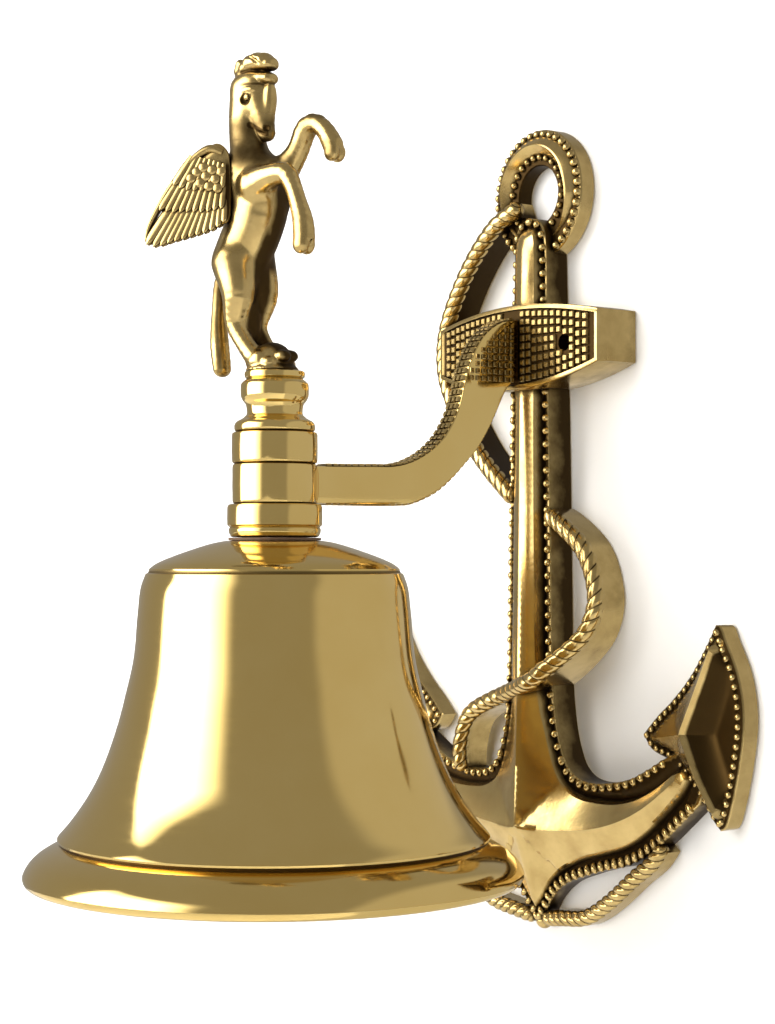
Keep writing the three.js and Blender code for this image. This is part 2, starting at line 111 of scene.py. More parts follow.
def piece(name, made, material, body, node, crease):
    """Makes a Blender object from a shape, sets its creases and puts it on its CAD body."""
    points, faces, recess = made
    mesh = bpy.data.meshes.new(name)
    mesh.from_pydata((points * MM).tolist(), [], faces)
    attribute = mesh.attributes.new("recess", "FLOAT", "POINT")
    attribute.data.foreach_set("value", recess.astype(np.float32))
    mesh.validate()
    mesh.polygons.foreach_set("use_smooth", [True] * len(mesh.polygons))
    mesh.set_sharp_from_angle(angle=math.radians(crease))
    obj = bpy.data.objects.new(name, mesh)
    bpy.context.scene.collection.objects.link(obj)
    mesh.materials.append(material)
    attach(obj, body)
    if node:
        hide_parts(node)
    return obj


def curve(points, spacing):
    """Points at an even spacing on a smooth line through the given ones."""
    given = np.asarray(points, float)
    ends = np.vstack([2 * given[0] - given[1], given, 2 * given[-1] - given[-2]])
    dense = []
    for i in range(1, len(ends) - 2):
        p0, p1, p2, p3 = ends[i - 1:i + 3]
        t0 = 0.0
        t1 = t0 + max(np.linalg.norm(p1 - p0), 1e-6) ** 0.5
        t2 = t1 + max(np.linalg.norm(p2 - p1), 1e-6) ** 0.5
        t3 = t2 + max(np.linalg.norm(p3 - p2), 1e-6) ** 0.5
        t = np.linspace(t1, t2, 24, endpoint=False)[:, None]
        a1 = (t1 - t) / (t1 - t0) * p0 + (t - t0) / (t1 - t0) * p1
        a2 = (t2 - t) / (t2 - t1) * p1 + (t - t1) / (t2 - t1) * p2
        a3 = (t3 - t) / (t3 - t2) * p2 + (t - t2) / (t3 - t2) * p3
        b1 = (t2 - t) / (t2 - t0) * a1 + (t - t0) / (t2 - t0) * a2
        b2 = (t3 - t) / (t3 - t1) * a2 + (t - t1) / (t3 - t1) * a3
        dense.append((t2 - t) / (t2 - t1) * b1 + (t - t1) / (t2 - t1) * b2)
    return evenly(np.vstack(dense + [given[-1:]]), spacing)


def evenly(line, spacing):
    """The same line, walked at an even spacing."""
    line = np.asarray(line, float)
    steps = np.linalg.norm(np.diff(line, axis=0), axis=1)
    walked = np.concatenate([[0], np.cumsum(steps)])
    count = max(2, int(round(walked[-1] / spacing)) + 1)
    at = np.linspace(0, walked[-1], count)
    return np.stack([np.interp(at, walked, line[:, k]) for k in range(line.shape[1])], axis=1)


def tangents(line):
    along = np.gradient(np.asarray(line, float), axis=0)
    return along / np.linalg.norm(along, axis=1)[:, None]


def facing_out(made):
    """The same shape with its faces turned round if they point inwards."""
    points, faces, recess = made
    volume = 0.0
    for face in faces:
        a = points[face[0]]
        for i in range(1, len(face) - 1):
            volume += np.dot(a, np.cross(points[face[i]], points[face[i + 1]]))
    return made if volume > 0 else (points, [face[::-1] for face in faces], recess)


def tube(rings, recess=None, closed=False):
    """A skin through rings of points with the same count, capped unless it closes on itself."""
    rings = np.asarray(rings, float)
    count, around = rings.shape[:2]
    faces = []
    for r in range(count if closed else count - 1):
        nxt = (r + 1) % count
        for i in range(around):
            j = (i + 1) % around
            faces.append((r * around + i, r * around + j, nxt * around + j, nxt * around + i))
    if not closed:
        faces.append(tuple(range(around))[::-1])
        faces.append(tuple((count - 1) * around + i for i in range(around)))
    values = np.zeros((count, around)) if recess is None else np.broadcast_to(recess, (count, around))
    return facing_out(shape(rings.reshape(-1, 3), faces, values.reshape(-1)))


def lathe(profile, segments=128, centre=(0.0, 0.0), recess=None):
    """A turned body from a closed loop of [radius, height] points, listed anticlockwise."""
    profile = np.asarray(profile, float)
    angles = np.linspace(0, 2 * math.pi, segments, endpoint=False)
    rings = np.zeros((segments, len(profile), 3))
    rings[:, :, 0] = centre[0] + np.cos(angles)[:, None] * profile[:, 0]
    rings[:, :, 1] = centre[1] + np.sin(angles)[:, None] * profile[:, 0]
    rings[:, :, 2] = profile[:, 1]
    return tube(rings[:, ::-1], None if recess is None else np.asarray(recess)[::-1], closed=True)


def bead(centre, radii, facing=None, segments=12, rings=7, recess_low=0.9):
    """An egg-shaped bead. facing holds its three axes as rows; the second one points to the wall."""
    axes = np.eye(3) if facing is None else np.asarray(facing, float)
    points, recess = [], []
    for i in range(1, rings):
        polar = math.pi * i / rings
        for j in range(segments):
            turn = 2 * math.pi * j / segments
            level = math.sin(polar)
            local = np.array([level * math.cos(turn), -math.cos(polar), level * math.sin(turn)])
            points.append(local * radii)
            recess.append(np.clip(local[1] + 0.25, 0, 1) * recess_low)
    points += [np.array([0, -radii[1], 0]), np.array([0, radii[1], 0])]
    recess += [0, recess_low]
    faces = []
    for i in range(rings - 2):
        for j in range(segments):
            k = (j + 1) % segments
            faces.append((i * segments + j, i * segments + k, (i + 1) * segments + k, (i + 1) * segments + j))
    first, last = len(points) - 2, len(points) - 1
    for j in range(segments):
        k = (j + 1) % segments
        faces.append((first, k, j))
        faces.append((last, (rings - 2) * segments + j, (rings - 2) * segments + k))
    return shape(np.asarray(points) @ axes + np.asarray(centre), faces, recess)


def bead_row(line, depths, pitch, across, along=None, height=None):
    """Beads along an [x, z] line at the given depths."""
    line3 = np.column_stack([line, depths])
    walked = evenly(line3, pitch)
    along_size = along or pitch * 0.44
    made = []
    for (x, z, depth), (tx, tz) in zip(walked, tangents(walked[:, :2])):
        facing = [[tx, 0, tz], [0, 1, 0], [-tz, 0, tx]]
        made.append(bead((x, -depth, z), (along_size, height or across, across), facing))
    return merge(*made)


# ---- Reliefs: flat-backed castings whose depth is a function of the place on the wall ---------------

def nearest(points, line):
    """Distance from each [x, z] point to a line, and how far along the line (0 to 1) it is nearest."""
    a, b = line[:-1], line[1:]
    step = b - a
    length = np.maximum((step ** 2).sum(1), 1e-12)
    t = np.clip(((points[:, None] - a) * step).sum(2) / length, 0, 1)
    gap = np.linalg.norm(points[:, None] - (a + t[..., None] * step), axis=2)
    best = gap.argmin(1)
    row = np.arange(len(points))
    return gap[row, best], (best + t[row, best]) / len(a)


def inside(points, loop):
    """Whether each [x, z] point lies in a closed loop."""
    x, z = points[:, 0], points[:, 1]
    result = np.zeros(len(points), bool)
    for (x0, z0), (x1, z1) in zip(loop, np.roll(loop, -1, axis=0)):
        crosses = (z0 > z) != (z1 > z)
        with np.errstate(divide="ignore", invalid="ignore"):
            at = x0 + (z - z0) * (x1 - x0) / (z1 - z0)
        result ^= crosses & (x < at)
    return result


def closed(loop):
    return np.vstack([loop, loop[:1]])


def inset(loop, distance):
    """A closed loop moved inwards. The loop goes anticlockwise in X and Z."""
    before, after = np.roll(loop, 1, axis=0), np.roll(loop, -1, axis=0)
    along = after - before
    along /= np.linalg.norm(along, axis=1)[:, None]
    moved_loop = loop + np.column_stack([-along[:, 1], along[:, 0]]) * distance
    gap, _ = nearest(moved_loop, closed(loop))
    return moved_loop[gap > distance * 0.93]


def anticlockwise(loop):
    x, z = loop[:, 0], loop[:, 1]
    area = (x * np.roll(z, -1) - np.roll(x, -1) * z).sum()
    return loop if area > 0 else loop[::-1]


def relief(loop, lines, depth_at, spacing, edge=0.5, wall_shade=0.35, back=0.0):
    """A flat-backed casting. loop is its outline, lines are kept as sharp edges of its front, and
    depth_at gives the depth and the recess at [x, z] points. The front has a small rounded edge."""
    loop = anticlockwise(loop)
    rim = inset(loop, edge)
    low, high = loop.min(0), loop.max(0)
    xs = np.arange(low[0], high[0], spacing)
    zs = np.arange(low[1], high[1], spacing * 0.87)
    grid = np.array([(x + (spacing / 2 if k % 2 else 0), z) for k, z in enumerate(zs) for x in xs])
    grid = grid[inside(grid, rim)]
    for line in [closed(rim)] + lines:
        gap, _ = nearest(grid, line)
        grid = grid[gap > spacing * 0.6]
    points, edges = [*grid], []
    for line in lines + [closed(rim)]:
        start = len(points)
        points += [*line]
        edges += [(start + i, start + i + 1) for i in range(len(line) - 1)]
    flat = [Vector(p) for p in points]
    out_points, _, out_faces, _, _, _ = delaunay_2d_cdt(flat, edges, [], 0, 1e-5)
    front = np.array([tuple(p) for p in out_points])
    triangles = np.array(out_faces)
    centres = front[triangles].mean(1)
    triangles = triangles[inside(centres, rim)]
    depth, recess = depth_at(front)
    count = len(front)
    low_wall = np.column_stack([loop[:, 0], np.full(len(loop), -back), loop[:, 1]])
    on_loop, _ = depth_at(loop)
    high_wall = np.column_stack([loop[:, 0], -(on_loop - edge), loop[:, 1]])
    body = np.column_stack([front[:, 0], -depth, front[:, 1]])
    vertices = np.vstack([body, high_wall, low_wall])
    size = len(loop)
    faces = [tuple(t) if cross(front[t]) > 0 else tuple(t[::-1]) for t in triangles]
    faces += [(count + i, count + size + i, count + size + (i + 1) % size, count + (i + 1) % size)
              for i in range(size)]
    faces.append(tuple(count + size + i for i in range(size))[::-1])
    faces += bridge(front, closed_order(front, rim), loop, count)
    # The side walls get painted shade, full at the wall and 0.6 of it at the front edge; the flat back shares
    # the points at the wall.
    values = np.concatenate([recess, np.full(size, wall_shade * 0.6), np.full(size, wall_shade)])
    return shape(vertices, faces, values)


def cross(triangle):
    (ax, az), (bx, bz), (cx, cz) = triangle
    return (bx - ax) * (cz - az) - (bz - az) * (cx - ax)


def closed_order(front, rim):
    """The index in front of each point of the rim, in order."""
    return [int(np.linalg.norm(front - p, axis=1).argmin()) for p in rim]


def bridge(front, rim_ids, loop, first):
    """Triangles between the rim and the outline round it, which needn't have the same count."""
    rim = front[rim_ids]
    n, m = len(rim), len(loop)
    start = int(np.linalg.norm(loop - rim[0], axis=1).argmin())
    faces, i, j = [], 0, 0
    while i < n or j < m:
        here, there = rim[i % n], loop[(start + j) % m]
        next_i, next_j = rim[(i + 1) % n], loop[(start + j + 1) % m]
        take_rim = j >= m or (i < n and np.linalg.norm(next_i - there) <= np.linalg.norm(next_j - here))
        a, b = rim_ids[i % n], first + (start + j) % m
        if take_rim:
            faces.append((a, b, rim_ids[(i + 1) % n]))
            i += 1
        else:
            faces.append((a, b, first + (start + j + 1) % m))
            j += 1
    return faces


def smoothstep(value, low, high):
    t = np.clip((value - low) / (high - low), 0, 1)
    return t * t * (3 - 2 * t)


# ---- Materials -----------------------------------------------------------------------------

def node_material(name):
    material = bpy.data.materials.new(name)
    material.use_nodes = True
    tree = material.node_tree
    return material, tree, tree.nodes["Principled BSDF"]


def add(tree, kind, inputs=None, **settings):
    node = tree.nodes.new(kind)
    for key, value in settings.items():
        setattr(node, key, value)
    for key, value in (inputs or {}).items():
        if isinstance(value, bpy.types.NodeSocket):
            tree.links.new(value, node.inputs[key])
        else:
            node.inputs[key].default_value = value
    return node


def noise(tree, scale, detail=3.0, roughness=0.5, stretch=(1, 1, 1)):
    place = add(tree, "ShaderNodeTexCoord")
    mapped = add(tree, "ShaderNodeMapping", {"Vector": place.outputs["Object"], "Scale": stretch})
    made = add(tree, "ShaderNodeTexNoise", {"Vector": mapped.outputs[0], "Scale": scale, "Detail": detail,
                                            "Roughness": roughness})
    return made.outputs["Fac"]


def remap(tree, value, low, high, new_low, new_high):
    made = add(tree, "ShaderNodeMapRange", {"Value": value, "From Min": low, "From Max": high,
                                            "To Min": new_low, "To Max": new_high})
    return made.outputs[0]


def blended(tree, factor, first, second):
    """A colour between two, each a colour or a socket."""
    mix = tree.nodes.new("ShaderNodeMix")
    mix.data_type = "RGBA"
    for value, socket in ((factor, mix.inputs[0]), (first, mix.inputs[6]), (second, mix.inputs[7])):
        if isinstance(value, bpy.types.NodeSocket):
            tree.links.new(value, socket)
        else:
            socket.default_value = value
    return mix.outputs[2]


def calculate(tree, operation, first, second=0.0):
    made = add(tree, "ShaderNodeMath", {0: first, 1: second}, operation=operation)
    return made.outputs[0]


def bumped(tree, shader, height, strength, distance):
    made = add(tree, "ShaderNodeBump", {"Height": height, "Strength": strength, "Distance": distance})
    tree.links.new(made.outputs[0], shader.inputs["Normal"])


def polished_brass():
    """Mirror-polished brass: faint polishing lines, finger haze, tarnish and polish left in the grooves."""
    material, tree, shader = node_material("polished_brass")
    recess = add(tree, "ShaderNodeAttribute", attribute_name="recess").outputs["Fac"]
    hollow = add(tree, "ShaderNodeAmbientOcclusion", {"Distance": 0.0012}, samples=4).outputs["AO"]
    haze = noise(tree, 22, 4, 0.6)
    lines = noise(tree, 60, 2, 0.5, stretch=(1, 1, 14))
    darkening = calculate(tree, "MAXIMUM", recess, remap(tree, hollow, 0.35, 0.7, 1.0, 0.0))
    hazy = remap(tree, haze, 0.35, 0.7, 0, 1)
    metal = blended(tree, hazy, (0.83, 0.615, 0.235, 1), (0.79, 0.565, 0.195, 1))
    colour = blended(tree, remap(tree, darkening, 0.35, 0.9, 0, 1), metal, (0.06, 0.03, 0.006, 1))
    tree.links.new(colour, shader.inputs["Base Color"])
    shader.inputs["Metallic"].default_value = 1.0
    rough = calculate(tree, "ADD", remap(tree, haze, 0.3, 0.75, 0.05, 0.12),
                      remap(tree, lines, 0.4, 0.7, 0.0, 0.03))
    rough = calculate(tree, "ADD", rough, remap(tree, darkening, 0.3, 0.9, 0.0, 0.35))
    tree.links.new(rough, shader.inputs["Roughness"])
    bumped(tree, shader, lines, 0.02, 0.0001)
    return material


def cast_brass(name, bright, tarnish, patina, shine=0.16):
    """Cast brass with dark patina in its recesses, painted shade wherever a piece's recess values carry it,
    and burnished high spots. Its flat back has less of the patina and painted shade.
    """
    material, tree, shader = node_material(name)
    recess = add(tree, "ShaderNodeAttribute", attribute_name="recess").outputs["Fac"]
    facing = add(tree, "ShaderNodeSeparateXYZ")
    tree.links.new(add(tree, "ShaderNodeNewGeometry").outputs["Normal"], facing.inputs["Vector"])
    recess = calculate(tree, "MULTIPLY", recess, remap(tree, facing.outputs["Y"], 0.9, 0.97, 1.0, 0.4))
    hollow = add(tree, "ShaderNodeAmbientOcclusion", {"Distance": 0.0035}, samples=6).outputs["AO"]
    blotch = noise(tree, 110, 4, 0.6)
    fine = noise(tree, 900, 3, 0.6)
    shade = remap(tree, hollow, 0.5, 0.92, 1.0, 0.0)
    # This darkening joins the recess values, which hold patina and painted shade, with the darkening of
    # hollows.
    darkening = calculate(tree, "MAXIMUM", recess, shade)
    darkening = calculate(tree, "ADD", darkening, remap(tree, blotch, 0.3, 0.7, -0.09, 0.09))
    darkening = remap(tree, darkening, 0.2, 0.8, 0.0, 1.0)
    metal = blended(tree, remap(tree, blotch, 0.35, 0.7, 0, 1), bright, tarnish)
    tree.links.new(blended(tree, darkening, metal, patina), shader.inputs["Base Color"])
    shader.inputs["Metallic"].default_value = 1.0
    blotchy = remap(tree, blotch, 0.3, 0.7, 0, 0.08)
    rough = calculate(tree, "ADD", remap(tree, darkening, 0, 1, shine, 0.42), blotchy)
    tree.links.new(rough, shader.inputs["Roughness"])
    bumped(tree, shader, fine, 0.1, 0.0002)
    return material


def plated_steel():
    material, tree, shader = node_material("zinc_steel")
    grain = noise(tree, 300, 4, 0.6)
    colour = blended(tree, remap(tree, grain, 0.3, 0.7, 0, 1), (0.55, 0.55, 0.52, 1), (0.40, 0.39, 0.34, 1))
    tree.links.new(colour, shader.inputs["Base Color"])
    shader.inputs["Metallic"].default_value = 1.0
    tree.links.new(remap(tree, grain, 0.3, 0.7, 0.25, 0.45), shader.inputs["Roughness"])
    bumped(tree, shader, grain, 0.1, 0.0002)
    return material


def waxed_leather():
    material, tree, shader = node_material("leather")
    grain = noise(tree, 800, 4, 0.7)
    colour = blended(tree, grain, (0.06, 0.03, 0.015, 1), (0.16, 0.09, 0.045, 1))
    tree.links.new(colour, shader.inputs["Base Color"])
    tree.links.new(remap(tree, grain, 0.3, 0.7, 0.55, 0.8), shader.inputs["Roughness"])
    bumped(tree, shader, grain, 0.4, 0.0004)
    return material


# ---- Bell and the turned stack ---------------------------------------------------------------------

def bell_shape():
    lip = MOUTH_RADIUS
    top = CROWN_Z
    crown = curve([[STACK_BORE, top], [15.4, top - 0.1], [26.5, top - 3.2], [35.6, top - 6.9],
                   [37.6, top - 8.4]], 0.9)
    line = [[37.7, top - 9.1], [38.0, top - 9.6], [38.7, top - 9.9]]
    waist = curve([[38.7, top - 9.9], [40.1, top - 14.0], [40.9, top - 20.5], [42.2, top - 35.0],
                   [44.5, top - 45.5], [47.2, top - 55.8], [51.7, top - 68.4], [55.9, top - 76.5],
                   [61.2, top - 84.1], [64.4, top - 87.8]], 1.1)
    fillet = [[64.8, top - 88.4], [64.7, top - 89.0], [64.1, top - 89.4], [64.0, top - 89.9],
              [64.6, top - 90.3]]
    rim = curve([[64.6, top - 90.3], [68.0, top - 91.9], [71.6, top - 94.3], [lip - 0.9, top - 97.3],
                 [lip, top - 99.7], [lip - 0.8, top - 101.5], [lip - 3.2, MOUTH_Z]], 0.7)
    under = curve([[lip - 5.2, MOUTH_Z + 0.4], [66, -160], [59, -153.5], [53.2, -143], [49.4, -134.5],
                   [44.6, -121], [41.8, -110], [39.6, -99.5], [38.2, -85], [36.4, -77.5], [31, -73.5],
                   [16, top - 4.6], [STACK_BORE, top - 4.6]], 1.6)
    parts = [crown, line, waist[1:], fillet, rim[1:], under]
    profile = np.vstack(parts)
    inner = np.zeros(len(profile))
    inner[-len(under):] = 0.45
    inner[len(crown):len(crown) + 2] = 0.8
    neck = len(crown) + len(line) + len(waist) - 1
    inner[neck + 2:neck + 4] = 0.9
    return lathe(profile[::-1], 224, BELL_AXIS, inner[::-1])


def turned_ring(node, radii, segments=96):
    """A bored ring as high as its CAD node. radii is a list of [radius, share of the height]."""
    low, high = node_box(node)
    outside = [[r, low[2] + share * (high[2] - low[2])] for r, share in radii]
    profile = [[STACK_BORE, low[2]]] + outside + [[STACK_BORE, high[2]]]
    return lathe(profile, segments, BELL_AXIS)


def ferrule_shape():
    return turned_ring("lower_ferrule", [
        [12.6, 0.0], [13.2, 0.02], [13.75, 0.12], [13.9, 0.22], [13.75, 0.27], [13.5, 0.30], [13.9, 0.33],
        [14.3, 0.37], [14.35, 0.6], [14.3, 0.9], [14.05, 0.97], [13.6, 1.0]])


def collar_shape():
    return turned_ring("upper_collar", [
        [12.3, 0.0], [12.75, 0.03], [12.9, 0.09], [12.95, 0.5], [12.9, 0.91], [12.75, 0.97], [12.3, 1.0]])


def pedestal_shape():
    base = [[11.6, 0.0], [12.05, 0.02], [12.2, 0.05], [12.2, 0.1], [11.9, 0.14]]
    throat = curve([[11.4, 0.17], [9.3, 0.24], [8.4, 0.32], [8.6, 0.42], [9.8, 0.53], [10.3, 0.63],
                    [10.3, 0.74], [9.5, 0.83]], 0.12)
    top = [[8.7, 0.86], [8.5, 0.875], [9.0, 0.9], [9.15, 0.95], [9.0, 0.985], [8.6, 1.0]]
    return turned_ring("finial_pedestal", base + throat.tolist() + top)


# ---- Anchor ----------------------------------------------------------------------------------------

def both_sides(right):
    """A closed loop from its right half, which runs from the top to the bottom."""
    right = np.asarray(right, float)
    return np.vstack([right, (right * [-1, 1])[::-1][1:-1]])


def plate_half():
    """Right half of the anchor's base plate, from the head of the shank to the toe."""
    head = curve([[0, 42.6], [4.2, 41.4], [6.9, 38.2], [7.8, 33], [8.2, 22], [9, 0], [10, -40], [10.8, -80],
                  [11.3, -105], [12.1, -116], [13.5, -124.8], [15.4, -131], [18.3, -136.6], [22.8, -139.9],
                  [29, -141], [37, -140.3], [46, -138.4], [54.5, -134.6], [62, -130.6],
                  [68, -128]], OUTLINE_STEP)
    end = curve([[68, -128], [76, -131], [79, -138], [76.5, -143.6]], OUTLINE_STEP)
    under = curve([[76.5, -143.6], [73.2, -146.2], [66.4, -151.8], [59.2, -157.5], [50.8, -162.7],
                   [42.4, -166.1], [34.9, -167.9], [25.4, -170.8], [14.6, -175], [7.5, -180.6],
                   [3.9, -185.5], [0, -188.4]], OUTLINE_STEP)
    return np.vstack([head, end[1:], under[1:]])


def body_half():
    """Right half of the raised body inside the beads."""
    shank = curve([[0, 40.2], [3.2, 39], [5.2, 35.5], [5.9, 30], [6.1, 10], [6.2, -30], [6.6, -70],
                   [7.2, -100], [8.4, -117.7], [10.1, -124.3], [12, -130.8], [14.6, -137.4],
                   [18, -142], [23.5, -144.7], [32.7, -145.6], [42.2, -145.1], [51.5, -142.7],
                   [59.6, -138.6], [66, -134.2]], OUTLINE_STEP)
    end = curve([[66, -134.2], [70.5, -133], [73, -136]], OUTLINE_STEP)
    under = curve([[73, -136], [70.4, -140.5], [65.8, -145.4], [59.5, -150.9], [52.3, -156.2], [43.7, -160.8],
                   [33.7, -164], [23.2, -167], [15, -170.8], [8.6, -175.6], [3.6, -181.6],
                   [0, -185.4]], OUTLINE_STEP)
    return np.vstack([shank, end[1:], under[1:]])


ARM_RIDGE = [[0, -157.6], [8.6, -157.4], [22, -156.4], [35, -154.6], [45.6, -151.5], [54.8, -147.2],
             [62.8, -141.8], [69, -136.4]]


def anchor_lines():
    """Ridges of the raised body, each as ([x, z] points, depths)."""
    shank = evenly([[0, 38.5], [0, STAR_Z]], OUTLINE_STEP)
    shank_depth = np.interp(-shank[:, 1], [-38.5, -36, -32, 10, 60, 115, 157],
                            [9.6, 11.6, 12.4, 13.3, 13.8, 14.6, STAR_DEPTH])
    arm = curve(ARM_RIDGE, OUTLINE_STEP)
    arm_depth = np.interp(np.linspace(0, 1, len(arm)), [0, 0.5, 0.9, 1], [STAR_DEPTH, 13.2, 11, 9.6])
    toe = evenly([[0, STAR_Z], [0, TOE_Z]], OUTLINE_STEP)
    toe_depth = np.interp(-toe[:, 1], [157, 186.3], [STAR_DEPTH, 6.2])
    return [(shank, shank_depth), (arm, arm_depth), (arm * [-1, 1], arm_depth), (toe, toe_depth)]


def plate_depth(points):
    """Depth of the base plate that carries the beads."""
    down = -points[:, 1]
    middle = np.interp(down, [-42, 0, 110, 150, 165, 188], [9.3, 9.3, 9.2, 8.6, 7.6, 5.4])
    reach = np.interp(np.abs(points[:, 0]), [12, 30, 76], [0, 0.6, 1.6])
    return middle - reach * smoothstep(down, 110, 130)


def anchor_body():
    loop = both_sides(plate_half())
    body = anticlockwise(both_sides(body_half()))
    lines = anchor_lines()

    def depth_at(points):
        base = plate_depth(points)
        edge_gap, _ = nearest(points, closed(body))
        within = inside(points, body) & (edge_gap > 0.02)
        ridge_gap, ridge_depth = np.full(len(points), 1e9), np.zeros(len(points))
        for line, depths in lines:
            gap, at = nearest(points, line)
            closer = gap < ridge_gap
            ridge_gap = np.where(closer, gap, ridge_gap)
            on_line = np.interp(at * (len(line) - 1), np.arange(len(line)), depths)
            ridge_depth = np.where(closer, on_line, ridge_depth)
        share = edge_gap / np.maximum(edge_gap + ridge_gap, 1e-6)
        foot = base - 0.2
        on_shank = 1 - smoothstep(-points[:, 1], 100, 132)
        scooped = 1 - (1 - share) ** 1.15
        rounded = np.sqrt(np.clip(1 - (1 - share) ** 2, 0, 1)) * 0.55 + share * 0.45
        rise = scooped * (1 - on_shank) + rounded * on_shank
        lifted = foot + (ridge_depth - foot) * rise + 0.9 * smoothstep(edge_gap, 0, 0.9) * (1 - share)
        groove = base - 1.3 * (1 - smoothstep(edge_gap, 0.2, 2.2))
        depth = np.where(within, lifted, groove)
        border = smoothstep(nearest(points, closed(loop))[0], 0.5, 1.0)
        recess = np.where(within, 0.8 * (1 - smoothstep(edge_gap, 0.2, 1.3)), 0.1 + 0.85 * border)
        return depth, recess

    foot = [closed(body), closed(inset(body, 1.4)), closed(inset(body[::-1], 1.1))]
    # The anchor's side walls get heavy painted shade toward the wall.
    return relief(loop, [line for line, _ in lines] + foot, depth_at, 1.3, edge=0.5, wall_shade=0.95)


def anchor_beads():
    """The bead rows round the base plate, left off where the palms cover it."""
    row = inset_row(plate_half(), BEAD_INSET)
    crotch = int(np.argmax(row[:, 0] > 15.4))
    palm = int(np.argmax(row[:, 0] > 62))
    under = len(row) - int(np.argmax(row[::-1, 0] > 72.5))
    parts = [(row[:crotch], 4.3, 1.35, 1.35), (row[crotch:palm], 3.6, 1.45, 1.3),
             (row[under:], 3.3, 1.85, 1.25)]
    right = merge(*[bead_row(line, plate_depth(line) - 0.1, pitch, across, along, 1.35)
                    for line, pitch, across, along in parts])
    return merge(right, mirrored(right))


def inset_row(line, distance):
    """An open [x, z] line moved to its right-hand side by a distance."""
    along = tangents(line)
    return line + np.column_stack([along[:, 1], -along[:, 0]]) * distance


def ring_shape():
    """The ring: a bead seat at each edge and a crescent ridge between them that fades at the foot."""
    fade_end = math.radians(152)
    radii = np.concatenate([[RING_HOLE], np.linspace(RING_HOLE + 0.3, RING_OUTER - 0.4, 30), [RING_OUTER]])
    angles = np.linspace(0, 2 * math.pi, 180, endpoint=False)
    rings, recess = [], []
    for angle in angles:
        from_top = abs((angle - math.pi / 2 + math.pi) % (2 * math.pi) - math.pi)
        size = 1 - smoothstep(from_top, math.radians(70), fade_end)
        half = 0.5 + 3.0 * size
        middle = 16.1 + 0.2 * size
        swell = np.clip(1 - np.abs(radii - middle) / half, 0, 1) ** 0.75 * (0.6 + 2.9 * size)
        swell = swell if from_top < fade_end else swell * 0
        depth = RING_DEPTH - 0.9 + swell
        depth[0] -= 0.5
        depth[-1] -= 0.5
        darkening = np.where(swell > 0.25, 0.75 * (1 - smoothstep(swell, 0.25, 1.1)), 0.9)
        front = np.column_stack([radii * math.cos(angle), -depth, RING_Z + radii * math.sin(angle)])
        back = front[[-1, 0]] * [1, 0, 1] - [0, RING_BACK, 0]
        rings.append(np.vstack([front, back]))
        darkening[radii > RING_OUTER - 0.9] = 0.1
        recess.append(np.concatenate([darkening, [0.2, 0.9]]))
    return tube(rings, np.array(recess), closed=True)


def ring_beads():
    made = []
    for radius, count, size in ((20.0, 38, 1.5), (12.5, 24, 1.25)):
        for k in range(count):
            angle = 2 * math.pi * (k + 0.5) / count
            c, s = math.cos(angle), math.sin(angle)
            x, z = radius * c, RING_Z + radius * s
            if z < RING_Z - radius * 0.93 and radius < 15:
                continue
            facing = [[-s, 0, c], [0, 1, 0], [c, 0, s]]
            made.append(bead((x, -RING_DEPTH + 0.7, z), (size, 1.5, size * 0.95), facing))
    return merge(*made)


PALM_UPPER = [[50.9, -124], [57.5, -117.8], [64, -112.6], [72, -104.6], [79, -94.8], [82.3, -89.4]]
PALM_OUTER = [[82.3, -89.4], [84.3, -89.6], [86.9, -94.3], [91.3, -102.6], [93.6, -111], [94.1, -119.4],
              [92.8, -129], [89.5, -142.5], [86.6, -149.6], [84.3, -150.6]]
PALM_LOWER = [[84.3, -150.6], [81, -147.6], [79, -145], [72, -137.4], [64.7, -131.8], [54.8, -128.4],
              [50.9, -124]]
PALM_CHEVRON = [[84.6, -94.8], [79.4, -108.4], [73.6, -122.4], [78.6, -134.2], [85.2, -145.8]]


